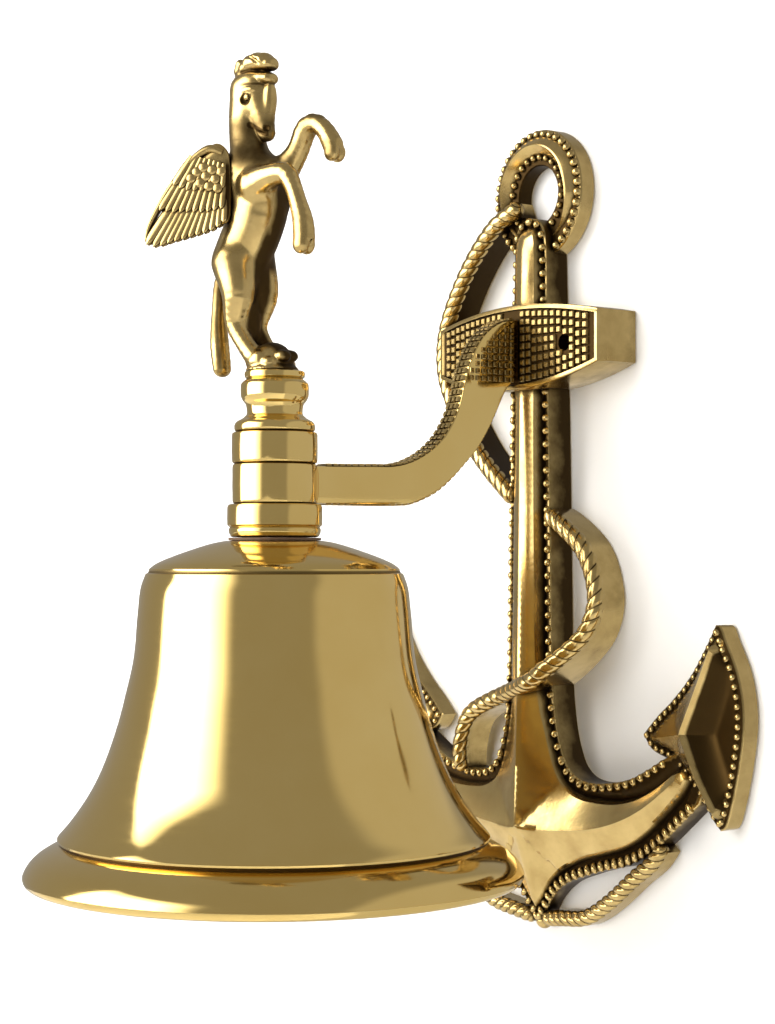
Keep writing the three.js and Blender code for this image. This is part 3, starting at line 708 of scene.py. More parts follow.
def palm_shape():
    """The right palm: a shield with beads round it and a raised chevron between hollow facets."""
    upper, outer, lower = [curve(line, PALM_STEP) for line in (PALM_UPPER, PALM_OUTER, PALM_LOWER)]
    loop = anticlockwise(np.vstack([upper, outer[1:], lower[1:-1]]))
    upper_arm = curve(PALM_CHEVRON[:3], PALM_STEP)
    lower_arm = curve(PALM_CHEVRON[2:], PALM_STEP)
    nose = evenly([PALM_CHEVRON[2], [55.6, -125]], PALM_STEP)
    chevron = np.vstack([upper_arm, lower_arm[1:]])

    def depth_at(points):
        edge_gap, _ = nearest(points, closed(loop))
        gap, at = nearest(points, chevron)
        crest = 10.2 + 2.8 * (1 - np.abs(at - 0.5) * 2) ** 0.8
        nose_gap, nose_at = nearest(points, nose)
        nose_crest = 13.0 - 5.6 * nose_at
        outer = points[:, 0] > np.interp(points[:, 1], [-145.8, -122.4, -94.8], [85.2, 73.6, 84.6])
        foot = 5.0
        hollow = foot + (crest - foot) * np.clip(1 - gap / 7.5, 0, 1) ** 1.6
        inner_share = edge_gap / np.maximum(edge_gap + np.minimum(gap, nose_gap), 1e-6)
        top = np.where(gap < nose_gap, crest, nose_crest)
        facet = foot + 0.6 + (top - foot - 0.6) * inner_share
        rim = 6.4 - 1.4 * smoothstep(edge_gap, 2.2, 3.4)
        depth = np.where(outer, hollow, facet)
        border = smoothstep(edge_gap, 2.4, 3.8)
        depth = rim * (1 - border) + depth * border
        # The outer hollow facets are painted fully dark, patina and painted shade; the inner facets get light
        # patina.
        dark = np.where(outer, 1.0, 0.3)
        recess = np.where(edge_gap < 3.6, 0.85, dark)
        recess = np.where(np.minimum(gap, np.where(outer, 99, nose_gap)) < 0.8, 0.0, recess)
        return depth, recess

    beside = [chevron + [0.75, 0], chevron + [1.6, 0], chevron - [0.75, 0]]
    plate = relief(loop, [chevron, nose] + beside, depth_at, 1.2, edge=0.6, wall_shade=0.12, back=PALM_BACK)
    outer_row = inset_row(curve(PALM_OUTER, 0.5)[::-1], -2.5)[4:-4]
    rows = [bead_row(outer_row, np.full(len(outer_row), 5.9), 3.0, 1.35, 1.25, 1.4)]
    for side in (PALM_UPPER, PALM_LOWER):
        row = inset_row(curve(side, 0.5), 1.6)[3:-3]
        rows.append(bead_row(row, np.full(len(row), 6.2), 2.8, 1.15, 1.1, 1.2))
    return merge(plate, *rows)


def anchor_shape():
    ball = bead((0, -TOE_BALL, TOE_Z - 2.8), (TOE_BALL,) * 3, segments=24, rings=14, recess_low=0.5)
    palm = palm_shape()
    return merge(anchor_body(), anchor_beads(), ring_shape(), ring_beads(), palm, mirrored(palm), ball)


# ---- Ropes -----------------------------------------------------------------------------------------

def rope_shape(route, radius, depths, lay, web_shade=(0.25, 0.1, 0.1, 0.25), groove=0.13):
    """A three-strand rope on a flat-sided web. depths is the depth of the rope's axis along the way, and
    web_shade holds the web's recess at its right foot and top, then at its left top and foot. The ends
    are rounded."""
    line = curve(route, ROPE_STEP)
    share = np.linspace(0, 1, len(line))
    depth = np.interp(share, np.linspace(0, 1, len(depths)), depths)
    axis = np.column_stack([line[:, 0], -depth, line[:, 1]])
    along = tangents(axis)
    side = np.column_stack([-along[:, 2], np.zeros(len(along)), along[:, 0]])
    side /= np.linalg.norm(side, axis=1)[:, None]
    up = np.cross(side, along)
    walked = np.arange(len(line)) * ROPE_STEP
    around = np.linspace(0, 2 * math.pi, 30, endpoint=False)
    rings, recess = [], []
    for i in range(len(line)):
        turn = around + 2 * math.pi * walked[i] / lay
        strand = np.abs(np.cos(1.5 * turn))
        from_end = min(walked[i], walked[-1] - walked[i]) / radius
        r = radius * (1 - groove + groove * strand ** 0.55) * math.sqrt(1 - max(0.0, 0.97 - from_end) ** 2)
        rings.append(axis[i] + np.outer(np.cos(around) * r, side[i]) + np.outer(np.sin(around) * r, up[i]))
        recess.append(np.clip(1.1 - strand * 2.6, 0, 1.0))
    rope = tube(rings, np.array(recess))
    web_rings = []
    for i in range(6, len(line), 4):
        low = axis[i] * [1, 0, 1] - [0, ROPE_BACK, 0]
        high = axis[i]
        across = side[i] * radius * 0.93
        web_rings.append([low - across, high - across, high + across, low + across])
    # The web's sides carry painted shade, from the values given for the web's feet and tops.
    web = tube(web_rings, np.array(web_shade))
    return merge(rope, web)


ROPE_UPPER = [[-6, 47.5], [-17.9, 41.8], [-33, 27.6], [-43.6, 10.3], [-45.4, 0], [-43.6, -9], [-35.5, -22.5],
              [-25.6, -34.6], [-13, -45.5], [-7.5, -50]]
ROPE_LOWER = [[8.5, -55], [15.1, -57.9], [28.1, -67.8], [33.4, -82], [30.8, -92], [24.4, -98.9],
              [9.3, -108.8], [-0.4, -111.7], [-17.6, -116.5], [-31.3, -123.1], [-36, -133], [-36.6, -142.5]]
SWAG_RIGHT = [[2.5, -188], [11.7, -186.6], [24, -184.6], [34.7, -178.6], [47.2, -169], [55, -163.5],
              [60, -157.5]]


def rope_upper_shape():
    # The upper rope's web is fully dark on its left side: a painted shadow.
    return rope_shape(ROPE_UPPER, ROPE_RADIUS, [7.5, 9.4] + [ROPE_AXIS_DEPTH] * 8 + [9.0], ROPE_LAY,
                      (0.2, 0.1, 1.0, 1.0))


def rope_lower_shape():
    flat = ROPE_AXIS_DEPTH
    over_shank = [flat + 0.2, flat + 1.5, 13.6, 16.2, 15.6, 12.2]
    depths = [8.6] + [flat] * 3 + over_shank + [flat] * 4 + [8.6]
    return rope_shape(ROPE_LOWER, ROPE_RADIUS, depths, ROPE_LAY)


def swag_shape():
    return rope_shape(SWAG_RIGHT, SWAG_RADIUS, [4.4] + [SWAG_AXIS_DEPTH] * 6, SWAG_LAY, groove=0.24)


# ---- Stock and bracket arm -------------------------------------------------------------------------

def knob(centre, size, height, normal, up):
    """One square stud of the knurling, with sloping sides."""
    normal, up = np.asarray(normal, float), np.asarray(up, float)
    across = np.cross(up, normal)
    corners = [(-1, -1), (1, -1), (1, 1), (-1, 1)]
    base = [centre + (across * a + up * b) * size / 2 - normal * 0.4 for a, b in corners]
    rise = [centre + (across * a + up * b) * size * 0.42 + normal * height * 0.65 for a, b in corners]
    top = [centre + (across * a + up * b) * size * 0.30 + normal * height for a, b in corners]
    faces = [(3, 2, 1, 0), (8, 9, 10, 11)]
    for low in (0, 4):
        for i in range(4):
            j = (i + 1) % 4
            faces.append((low + i, low + j, low + 4 + j, low + 4 + i))
    return shape(base + rise + top, faces, [1.0] * 4 + [0.2] * 4 + [0.0] * 4)


def stock_section(s):
    """Bottom, top and front depth of the stock at s, from -1 to 1."""
    middle, end = np.array([-14.5, 13.2, 17.3]), np.array([-7.7, 8.6, 15.4])
    return middle + (end - middle) * s * s


def stock_shape():
    """The stock: a bar with a raised rim round its sunk front, which the knurling covers; its two wall screw
    holes are drilled afterwards.
    """
    rim, end_rim, bevel, sunk = 1.5, 3.0, 3.2, 0.7
    rings, recess = [], []
    shares = np.linspace(-1, 1, 81)
    ends = [(-1.0, 0.0)] + [(s, 1.0) for s in shares[1:-1]] + [(1.0, 0.0)]
    for s, full in ends:
        bottom, top, front = stock_section(s)
        front -= bevel * (1 - full)
        inner = sunk if abs(s) * STOCK_HALF < STOCK_HALF - end_rim else 0.0
        section = [(-STOCK_BACK, bottom), (-front + 0.6, bottom), (-front + 0.15, bottom + 0.2),
                   (-front, bottom + 0.6), (-front, bottom + rim), (-front + inner, bottom + rim + 0.3),
                   (-front + inner, top - rim - 0.3), (-front, top - rim), (-front, top - 0.6),
                   (-front + 0.15, top - 0.2), (-front + 0.6, top), (-STOCK_BACK, top)]
        rings.append([[s * STOCK_HALF, y, z] for y, z in section])
        darkening = 0.9 if inner else 0.0
        recess.append([0.35, 0.1, 0, 0, 0.1, darkening, darkening, 0.1, 0, 0, 0.1, 0.35])
    return tube(np.array(rings)[::-1], np.array(recess)[::-1])


def stock_knurl():
    """Knurling on the stock's front, clear of the shank, the ends and the wall holes."""
    made = []
    clear, border = 4.4, 3.6
    columns = int((STOCK_HALF - clear) // KNURL_PITCH)
    for column in range(-columns, columns + 1):
        x = column * KNURL_PITCH
        if abs(x) < clear:
            continue
        bottom, top, front = stock_section(x / STOCK_HALF)
        rows = int((top - bottom - border) // KNURL_PITCH) + 1
        for row in range(rows):
            z = (bottom + top) / 2 + (row - (rows - 1) / 2) * (top - bottom - border) / rows
            near_hole = math.hypot(abs(x) - WALL_HOLE_X, z - WALL_HOLE_Z) < WALL_HOLE_RADIUS + 0.6
            if not near_hole:
                made.append(knob(np.array([x, -front + 0.7, z]), KNURL_SIZE, 1.0, (0, -1, 0), (0, 0, 1)))
    return merge(*made)


def drilled(obj, axis_points, radius, from_y, to_y):
    """Cuts round holes along Y through an object."""
    for x, z in axis_points:
        angles = np.linspace(0, 2 * math.pi, 40, endpoint=False)
        rim = [(x + radius * math.cos(a), z + radius * math.sin(a)) for a in angles]
        rings = [[[rim_x, y, rim_z] for rim_x, rim_z in rim] for y in (from_y, to_y)]
        points, faces, _ = tube(rings)
        mesh = bpy.data.meshes.new("drill")
        mesh.from_pydata((points * MM).tolist(), [], faces)
        tool = bpy.data.objects.new("drill", mesh)
        bpy.context.scene.collection.objects.link(tool)
        modifier = obj.modifiers.new("hole", "BOOLEAN")
        modifier.object, modifier.operation, modifier.solver = tool, "DIFFERENCE", "EXACT"
        graph = bpy.context.evaluated_depsgraph_get()
        cut_mesh = bpy.data.meshes.new_from_object(obj.evaluated_get(graph))
        obj.modifiers.clear()
        obj.data = cut_mesh
        bpy.data.objects.remove(tool)
        bpy.data.meshes.remove(mesh)
        recess = cut_mesh.attributes["recess"].data
        for vertex, value in zip(cut_mesh.vertices, recess):
            if math.hypot(vertex.co.x / MM - x, vertex.co.z / MM - z) < radius + 0.1:
                value.value = 1.0


ARM_UPPER = [[-98.3, -41.3], [-88, -41.2], [-75, -40.9], [-66.5, -40.6], [-60.2, -39.2], [-53.8, -36.2],
             [-48.3, -31.9], [-44.3, -26.8], [-41.5, -21.5], [-39.6, -15.5], [-37.8, -9.2], [-34.6, -2.4],
             [-30.5, 2.8], [-24, 7], [-17.2, 8.4]]
ARM_LOWER = [[-98.3, -52.8], [-88, -52.8], [-75, -52.8], [-67, -52.7], [-60, -52.2], [-50.3, -48.5],
             [-44.4, -44.4], [-39.4, -39.9], [-34, -34.6], [-29.6, -28.7], [-26, -22.6], [-23, -16.8],
             [-20.4, -13.2], [-17.2, -11.4]]


def arm_frames(count):
    """Matching points on the arm's upper and lower edges, as [y, z], from the hub to the stock."""
    upper, lower = curve(ARM_UPPER, 0.3), curve(ARM_LOWER, 0.3)
    at = np.linspace(0, 1, count)
    picked = []
    for line in (upper, lower):
        share = np.linspace(0, 1, len(line))
        picked.append(np.stack([np.interp(at, share, line[:, k]) for k in (0, 1)], axis=1))
    return picked


def arm_shape():
    upper, lower = arm_frames(90)
    half = ARM_HALF
    rings, recess = [], []
    for top, low in zip(upper, lower):
        across = (top - low) / np.linalg.norm(top - low)
        section = [(-half, 0.9), (-half + 0.25, 0.28), (-half + 0.9, 0), (half - 0.9, 0), (half - 0.25, 0.28),
                   (half, 0.9)]
        lower_points = [(x, low + across * gap) for x, gap in section]
        upper_points = [(-x, top - across * gap) for x, gap in section]
        rings.append([[x, p[0], p[1]] for x, p in lower_points + upper_points])
        recess.append([0, 0, 0.5, 0.5, 0, 0, 0, 0, 0.5, 0.5, 0, 0])
    return tube(np.array(rings), np.array(recess))


def arm_grip():
    """Knurling on the arm: three rows along its upper and lower faces, and panels on both sides."""
    made = []
    tiny = 0.0001  # carries a point's index along without changing the spacing
    upper, lower = arm_frames(400)
    for line, columns, outward in ((upper, (-2.1, 0.0, 2.1), 1), (lower, (-1.8, 0.0, 1.8), -1)):
        full = np.column_stack([line, np.arange(len(line))])
        for x in columns:
            for y, z, k in evenly(full[:, :3] * [1, 1, tiny], 2.45):
                if y > -19.5 or y < -92:
                    continue
                i = int(round(k / tiny))
                i = min(max(i, 1), len(line) - 2)
                along = (line[i + 1] - line[i - 1]) / np.linalg.norm(line[i + 1] - line[i - 1])
                normal = np.array([0, -along[1], along[0]]) * outward
                height = 0.75 if outward > 0 else 0.4
                made.append(knob(np.array([x, y, z]), 1.9, height, normal, np.array([0, along[0], along[1]])))
    for side in (-1, 1):
        for column in range(9):
            y = -19.8 - column * 2.35
            for row in range(9):
                z = -11.5 + row * 2.3
                in_upper = z < np.interp(y, upper[:, 0], upper[:, 1]) - 2.4
                if in_upper and z > np.interp(y, lower[:, 0], lower[:, 1]) + 1.2:
                    made.append(knob(np.array([side * ARM_HALF, y, z]), 1.75, 0.55, (side, 0, 0), (0, 0, 1)))
    return merge(*made)


def hub_shape():
    """The ring at the arm's end, with a rounded square collar where the arm meets it."""
    bottom, top = -53.0, -41.1
    profile = [[STACK_BORE, bottom], [12.2, bottom], [12.6, bottom + 0.3], [12.75, bottom + 0.9], [12.8, -47],
               [12.75, top - 0.9], [12.6, top - 0.3], [12.2, top], [STACK_BORE, top]]
    hub = lathe(profile, 96, BELL_AXIS)
    collar_rings = []
    for y, grow in ((-98.2, 0.5), (-97.4, 0.75), (-96.3, 0.75), (-95.6, 0.2), (-95.2, -0.1)):
        half_z, half_x = 5.75 + grow, ARM_HALF + grow
        corners = []
        for k in range(24):
            angle = 2 * math.pi * k / 24
            c, s = math.cos(angle), math.sin(angle)
            corners.append([half_x * np.sign(c) * abs(c) ** 0.45, y,
                            -47.05 + half_z * np.sign(s) * abs(s) ** 0.45])
        collar_rings.append(corners)
    return merge(hub, tube(np.array(collar_rings)[:, ::-1]))


# ---- Finial: a rearing winged horse ----------------------------------------------------------------

HORSE_HEADING = math.radians(15)
VOXEL, BAND = 0.36, 3.0
HORSE_LOW, HORSE_HIGH = (-27.0, -13.0, -15.5), (24.0, 13.0, 86.0)
TRUNK = [[-13, 0, 16, 7.6], [-12.2, 0, 24, 8.7], [-8.5, 0, 31, 8.9], [-6, 0, 38, 8.8], [-6.6, 0, 46, 7.7]]
NECK = [[-7.8, 0, 46, 7.4], [-10.4, 0, 54, 6.0], [-11.8, 0, 64, 5.3], [-11.4, 0, 73, 5.2]]
HEAD = [[-8.6, 0, 73.5, 5.4], [-7.4, 0, 69.5, 5.2], [-5.4, 0, 64.5, 4.0], [-3.8, 0, 60.4, 3.0],
        [-3.2, 0, 58.9, 2.5]]
FAR_FORELEG = [[-3, 5, 46, 5.2], [3.5, 6, 53, 3.4], [7.6, 6, 60.0, 3.3], [11, 6, 61.0, 2.9],
               [15.1, 6, 58.0, 2.8], [17.8, 6, 53.8, 3.2]]
NEAR_FORELEG = [[-3, -5, 42.5, 5.4], [4, -6, 44.4, 3.6], [10.0, -6, 44.2, 3.1], [12.6, -6, 40.4, 2.6],
                [14.4, -6, 36, 2.6], [16.6, -6, 29.4, 3.1], [17, -6, 25.0, 3.3]]
HIND_LEG = [[-12.6, 4.4, 20, 6.8], [-10.2, 5.0, 11, 5.2], [-11.6, 4.6, 1.5, 3.2], [-8.2, 4.3, -4.6, 2.8],
            [-4.2, 4.2, -9.2, 3.1]]
TAIL = [[-17.5, 0, 20, 2.6], [-21.5, 0, 16, 2.2], [-23.1, 0, 6, 2.1], [-22.8, 0, -4, 2.7],
        [-21.8, 0, -11.2, 2.6]]


def soft_union(a, b, size):
    blend = np.clip(0.5 + 0.5 * (b - a) / size, 0, 1)
    return b + (a - b) * blend - size * blend * (1 - blend)


class Clay:
    """A block of signed distances, in the horse's frame, that limbs and lumps are blended into.
    Its X is forward, its Y is the horse's left and its Z is the row's height."""

    def __init__(self):
        self.axes = [np.arange(a, b, VOXEL) for a, b in zip(HORSE_LOW, HORSE_HIGH)]
        self.field = np.full([len(axis) for axis in self.axes], BAND, np.float32)

    def near(self, low, high):
        """The part of the block round two corners, and its grid points."""
        span = tuple(slice(*np.searchsorted(axis, (a - BAND, b + BAND)))
                     for axis, a, b in zip(self.axes, low, high))
        lines = [axis[part] for axis, part in zip(self.axes, span)]
        return span, np.stack(np.meshgrid(*lines, indexing="ij"), axis=-1).astype(np.float32)

    def blend(self, span, gap, soft, cut=False):
        if cut:
            self.field[span] = -soft_union(-self.field[span], gap, soft)
        else:
            self.field[span] = soft_union(self.field[span], gap, soft)

    def limb(self, stations, soft, squash=(1, 1, 1), inner=0.3, cut=False):
        """A rounded limb through [x, y, z, radius] stations, or a groove of that shape."""
        scale = np.asarray(squash, np.float32)
        stations = curve(stations, 2.2).astype(np.float32)
        reach = stations[:, 3].max() / scale.min()
        span, grid = self.near(stations[:, :3].min(0) - reach, stations[:, :3].max(0) + reach)
        result = None
        for a, b in zip(stations[:-1], stations[1:]):
            step = (b[:3] - a[:3]) * scale
            offset = (grid - a[:3]) * scale
            t = np.clip((offset @ step) / max(float(step @ step), 1e-9), 0, 1)
            gap = np.linalg.norm(offset - t[..., None] * step, axis=-1) - (a[3] + t * (b[3] - a[3]))
            result = gap if result is None else soft_union(result, gap, inner)
        self.blend(span, result, soft, cut)

    def lump(self, centre, radii, soft, cut=False):
        """An egg-shaped lump, or a hollow of that shape."""
        centre, radii = np.asarray(centre, np.float32), np.asarray(radii, np.float32)
        span, grid = self.near(centre - radii, centre + radii)
        gap = (np.linalg.norm((grid - centre) / radii, axis=-1) - 1) * float(radii.min())
        self.blend(span, gap, soft, cut)

    def mesh(self):
        volume = openvdb.FloatGrid(BAND)
        volume.copyFromArray(np.clip(self.field, -BAND, BAND))
        points, quads = volume.convertToQuads(0.0)
        return points * VOXEL + np.array(HORSE_LOW), quads


def other_side(stations):
    return [[x, -y, z, r] for x, y, z, r in stations]


def horse_body(clay):
    clay.limb(TRUNK, 2.0, (1, 1.04, 1))
    clay.limb(NECK, 2.5, (1, 1.06, 1))
    for side in (1, -1):
        clay.limb(HIND_LEG if side > 0 else other_side(HIND_LEG), 1.6)
        clay.lump((-10.5, side * 5.2, 46), (4.5, 3.6, 8), 2.2)
        clay.lump((-13.2, side * 4.6, 21), (6.2, 4.6, 7.6), 1.8)
        clay.lump((-2.6, side * 3.6, 40), (4.6, 3.6, 5), 1.8)
    clay.lump((-9.6, 0, 4), (2.6, 3.6, 9), 1.0)
    clay.limb(FAR_FORELEG, 1.6)
    clay.limb(NEAR_FORELEG, 1.6)
    clay.limb([[-2.5, -9.6, 36.8, 0.6], [2, -8, 38.8, 0.5]], 0.9, cut=True)


def horse_hooves(clay):
    """Each hoof is two toes with a cleft between them."""
    for x, y, z, radii in ((18.6, 6, 51.4, (2.6, 2.0, 2.9)), (16.9, -6, 22.9, (2.7, 2.1, 3.1)),
                           (-2.4, 4.2, -10.2, (3.4, 2.2, 2.4)), (-2.4, -4.2, -10.2, (3.4, 2.2, 2.4))):
        for toe in (-1.35, 1.35):
            clay.lump((x, y + toe, z), radii, 0.4)
        clay.limb([[x + radii[0], y, z + 1.5, 0.35], [x + radii[0], y, z - 3, 0.55]], 0.3, cut=True)


def horse_head(clay):
    clay.limb(HEAD, 1.0, (1, 1.12, 1))
    clay.lump((-3.3, 0, 59.3), (2.7, 2.7, 2.7), 0.8)
    clay.lump((-1.6, 0, 69), (1.6, 2.2, 5.5), 1.4)
    for side in (1, -1):
        clay.lump((-10.4, side * 2.0, 67.4), (4.7, 3.2, 4.6), 0.8)
        clay.lump((-7.4, side * 3.7, 71.9), (2.9, 1.5, 1.0), 0.7)
        clay.lump((-7.6, side * 5.0, 69.2), (1.9, 1.2, 1.5), 0.3, cut=True)
        clay.lump((-7.2, side * 4.5, 69.6), (1.3, 0.9, 1.1), 0.15)
        clay.lump((-1.5, side * 2.0, 59.9), (0.8, 0.8, 0.9), 0.3, cut=True)
        mouth = [[-7.2, side * 3.3, 61.4, 0.4], [-5.2, side * 3.0, 59.2, 0.6], [-1.4, side * 2.3, 57.9, 0.6]]
        clay.limb(mouth, 0.3, cut=True)


def horse_mane(clay):
    """Two forelock rolls on the brow and locks down the back of the neck."""
    upper_roll = [[-12.2, 0, 77.6, 2.2], [-9, 0, 80.2, 2.9], [-4.4, 0, 80.5, 2.9], [-1.8, 0, 79.6, 2.2]]
    lower_roll = [[-12.0, 0, 75.4, 2.3], [-7, 0, 75.8, 2.3], [-1.9, 0, 75.2, 2.0]]
    clay.limb(upper_roll, 0.3, (1, 0.72, 1))
    clay.limb(lower_roll, 0.3, (1, 0.66, 1.06))
    for y in (-3.4, 3.4):
        clay.limb([[-8, y, 82.4, 0.4], [-4, y * 1.1, 80, 0.5], [-2.2, y * 1.1, 77.4, 0.4]], 0.4, cut=True)
    for k in range(9):
        z = 78 - k * 4.2
        lean = (-1) ** k
        lock = [[-13.6 + 0.1 * k, 0, z + 3.0, 1.7], [-15.0 + 0.26 * k, 0.9 * lean, z, 1.7],
                [-14.4 + 0.34 * k, 1.8 * lean, z - 3.0, 1.1]]
        clay.limb(lock, 0.9, (1, 0.8, 1))


def horse_rock(clay):
    """A lumpy rock that ends in a flat round foot as wide as the pedestal's top."""
    clay.limb([[-1, 0, -12.6, 8.0], [-1, 0, -11.0, 6.6]], 0.7)
    for k in range(9):
        angle = 2 * math.pi * k / 9 + 0.4
        reach = 5.6 + 0.7 * math.sin(5 * k)
        lump = (-1 + reach * math.cos(angle), reach * math.sin(angle), -9.9 + 1.2 * math.sin(3 * angle + k))
        clay.lump(lump, (2.5, 2.5, 1.9), 0.5)
    span, grid = clay.near((-14, -14, -16), (14, 14, -9))
    clay.field[span] = np.maximum(clay.field[span], -13.0 - grid[..., 2])
    foot = (grid[..., 2] < -12.0) & (grid[..., 0] > -15)
    sides = np.hypot(grid[..., 0], grid[..., 1]) - 9.1
    clay.field[span] = np.where(foot, np.maximum(clay.field[span], sides), clay.field[span])


def points_near(points, start, end, reach):
    """1 for points within reach of the line from start to end, easing to 0 just outside it."""
    start, end = np.asarray(start), np.asarray(end)
    step = end - start
    t = np.clip((points - start) @ step / (step @ step), 0, 1)
    gap = np.linalg.norm(points - start - t[:, None] * step, axis=1)
    return 1 - smoothstep(gap, reach, reach + 0.5)


def horse_patina_and_shade(points):
    """Patina round the eyes, mouth and forelock, and painted shade on the neck, chest, belly, far cheek,
    flank and tail and between the hind legs.
    """
    x, y, z = points.T
    # Painted shade between the hind legs and on the belly, which faces down and away.
    between = (1 - smoothstep(np.abs(y), 2.4, 5.2)) * smoothstep(x, -11.5, -8) * (1 - smoothstep(z, 26, 33))
    belly = smoothstep(y, -4.2, -0.6) * smoothstep(x, -9, -5) * smoothstep(z, 14, 20)
    belly = belly * (1 - smoothstep(z, 41, 46))
    # Painted shade on the far side of the head.
    cheek = smoothstep(y, 1.5, 3.6) * smoothstep(z, 60, 63) * (1 - smoothstep(z, 76, 78))
    # Painted shade on the chest.
    chest = smoothstep(x, -7, -2) * (1 - smoothstep(np.abs(y), 2, 5)) * smoothstep(z, 46, 49)
    chest = 0.6 * chest * (1 - smoothstep(z, 54, 58))
    # Painted shade on the tail, on the neck all round, and on the rump and lower hindquarters.
    tail = smoothstep(-x, 19.5, 20.5) * smoothstep(x, -22.6, -21.2)
    neck = 0.68 * smoothstep(z, 44, 51) * (1 - smoothstep(z, 61, 67)) * (1 - smoothstep(x, -1, 2))
    flank = 0.5 * (1 - smoothstep(z, 28, 34)) * smoothstep(z, -8, 2) * (1 - smoothstep(x, -16, -12))
    far = np.column_stack([x, np.abs(y), z])
    lips = points_near(far, (-7.2, 3.3, 61.4), (-1.4, 2.3, 57.9), 0.7)
    eye = points_near(far, (-7.8, 4.6, 69.1), (-7.8, 4.6, 69.0), 1.7) * (np.hypot(x + 7.2, z - 69.6) > 0.95)
    nostril = points_near(far, (-1.5, 2.0, 59.9), (-1.5, 2.0, 59.8), 0.9)
    under_roll = smoothstep(z, 76.7, 77.5) * (1 - smoothstep(z, 77.9, 78.9)) * smoothstep(x, -13, -10)
    brow = smoothstep(z, 72.7, 73.3) * (1 - smoothstep(z, 73.7, 74.3)) * smoothstep(x, -11, -8)
    dark = [lips, eye, nostril, neck, flank, 0.9 * between, 0.9 * belly, 0.55 * cheek, chest, 0.5 * tail,
            0.95 * under_roll, 0.7 * brow]
    return np.clip(np.maximum.reduce(dark), 0, 1)


def horse_to_row(points):
    """Points of the horse's own frame in the row frame."""
    c, s = math.cos(HORSE_HEADING), math.sin(HORSE_HEADING)
    return np.column_stack([c * points[:, 0] - s * points[:, 1] + BELL_X,
                            s * points[:, 0] + c * points[:, 1] + BELL_Y, points[:, 2]])


def horse_shape():
    clay = Clay()
    horse_body(clay)
    horse_hooves(clay)
    horse_head(clay)
    horse_mane(clay)
    clay.limb(TAIL, 1.2, (1, 0.86, 1))
    horse_rock(clay)
    points, quads = clay.mesh()
    return facing_out(shape(horse_to_row(points), quads, horse_patina_and_shade(points)))


WING_OUTLINE = [[-1.2, 4.5], [-0.6, 8.4], [1.4, 10.9], [3.4, 11.4], [6.2, 9.2], [9.8, 5.6], [14.4, 0.2],
                [17.6, -5.0], [16.6, -9.5], [11, -11.5], [5, -12.6], [-0.4, -12.2], [-1.4, -5]]


def feather(root, tip, width, lift, thickness=0.5):
    """A long flat blade from root to tip, as [along, up] points, tilted so that the next one overlaps it."""
    root, tip = np.asarray(root, float), np.asarray(tip, float)
    along = tip - root
    length = np.linalg.norm(along)
    along /= length
    across = np.array([-along[1], along[0]])
    rings, recess = [], []
    for t in np.linspace(0, 1, 14):
        size = math.sqrt(max(1 - max(0.0, (t - 0.8) / 0.2) ** 2, 0.01)) * (0.75 + 0.25 * min(1, t * 2.5))
        ring, darkening = [], []
        for k in range(14):
            angle = 2 * math.pi * k / 14
            side = math.cos(angle) * width / 2 * size
            high = math.sin(angle) * thickness
            quill = 0.22 * math.exp(-(side / 0.28) ** 2) if math.sin(angle) > 0 else 0.0
            place = root + along * length * t + across * side
            ring.append([place[0], place[1], lift + 0.3 * t - 0.16 * side + high + quill * size])
            darkening.append(0.25 + 0.7 * smoothstep(abs(math.cos(angle)), 0.6, 0.95))
        rings.append(ring)
        recess.append(darkening)
    return tube(rings, np.array(recess))


WING_TIERS = [
    (12, 3.1, 0.75, [[14.6, -3.4], [10.6, -5.2], [5.5, -6.4], [0.6, -5.8]],
     [[24.6, -18.6], [22.0, -19.4], [17.2, -18.2], [12, -16.9], [7, -15.6], [3.2, -14.2], [0.8, -12.4]]),
    (10, 2.9, 1.15, [[12.6, 4.2], [8.6, 3.2], [4.4, 2.2], [0.6, 1.2]],
     [[20.4, -8.4], [17, -9.2], [11.4, -9.2], [6.4, -9.4], [1.4, -8.4]]),
    (8, 2.7, 1.5, [[10.2, 7.6], [7.4, 7.0], [4.2, 6.2], [0.6, 5.0]],
     [[16.0, -1.0], [13.0, -2.4], [9, -3.0], [4.6, -2.8], [1.0, -2.4]])]
WING_SCALES = [(10.4, 0.9), (7.7, -0.6), (5.0, -1.7), (8.7, 2.7), (5.9, 1.4), (3.1, 0.4), (2.3, -2.3),
               (6.7, 4.0), (4.0, 3.2), (1.2, 2.6)]
WING_LEADING_EDGE = [[1.0, 8.4, 1.6], [4.6, 9.7, 1.9], [8.4, 8.0, 1.7], [12.4, 4.2, 1.5], [17.2, -1.6, 1.3],
                     [21.2, -8.0, 1.1], [24.2, -14, 0.8], [25.0, -17.6, 0.4]]


def wing_face():
    """Feathers of one face in [along, up, out]: three tiers of feathers and round scales on top."""
    made = []
    for count, width, lift, root_line, tip_line in WING_TIERS:
        roots, tips = curve(root_line, 0.1), curve(tip_line, 0.1)
        for k in range(count):
            share = k / (count - 1)
            root = roots[int(share * (len(roots) - 1))]
            tip = tips[int(share * (len(tips) - 1))]
            made.append(feather(root, tip, width * (1 - 0.12 * share), lift))
    dome = [[0.01, 1.9], [1.0, 2.0], [1.5, 2.2], [1.38, 2.42], [0.8, 2.6], [0.01, 2.66]]
    for along, up in WING_SCALES:
        points, faces, recess = lathe(dome, 18, recess=[1, 1, 0.9, 0.15, 0, 0])
        made.append((points + [along, up, 0], faces, recess))
    around = np.linspace(0, 2 * math.pi, 16, endpoint=False)
    edge = curve(WING_LEADING_EDGE, 0.8)
    across = tangents(edge[:, :2])[:, ::-1] * [-1, 1]
    rings = []
    for (along, up, radius), (side_x, side_z) in zip(edge, across):
        reach = 0.75 * radius * np.cos(around)
        ring = np.column_stack([along + side_x * reach, up + side_z * reach, 0.6 + radius * np.sin(around)])
        rings.append(ring)
    made.append(tube(rings, np.full(16, 0.3)))
    return merge(*made)


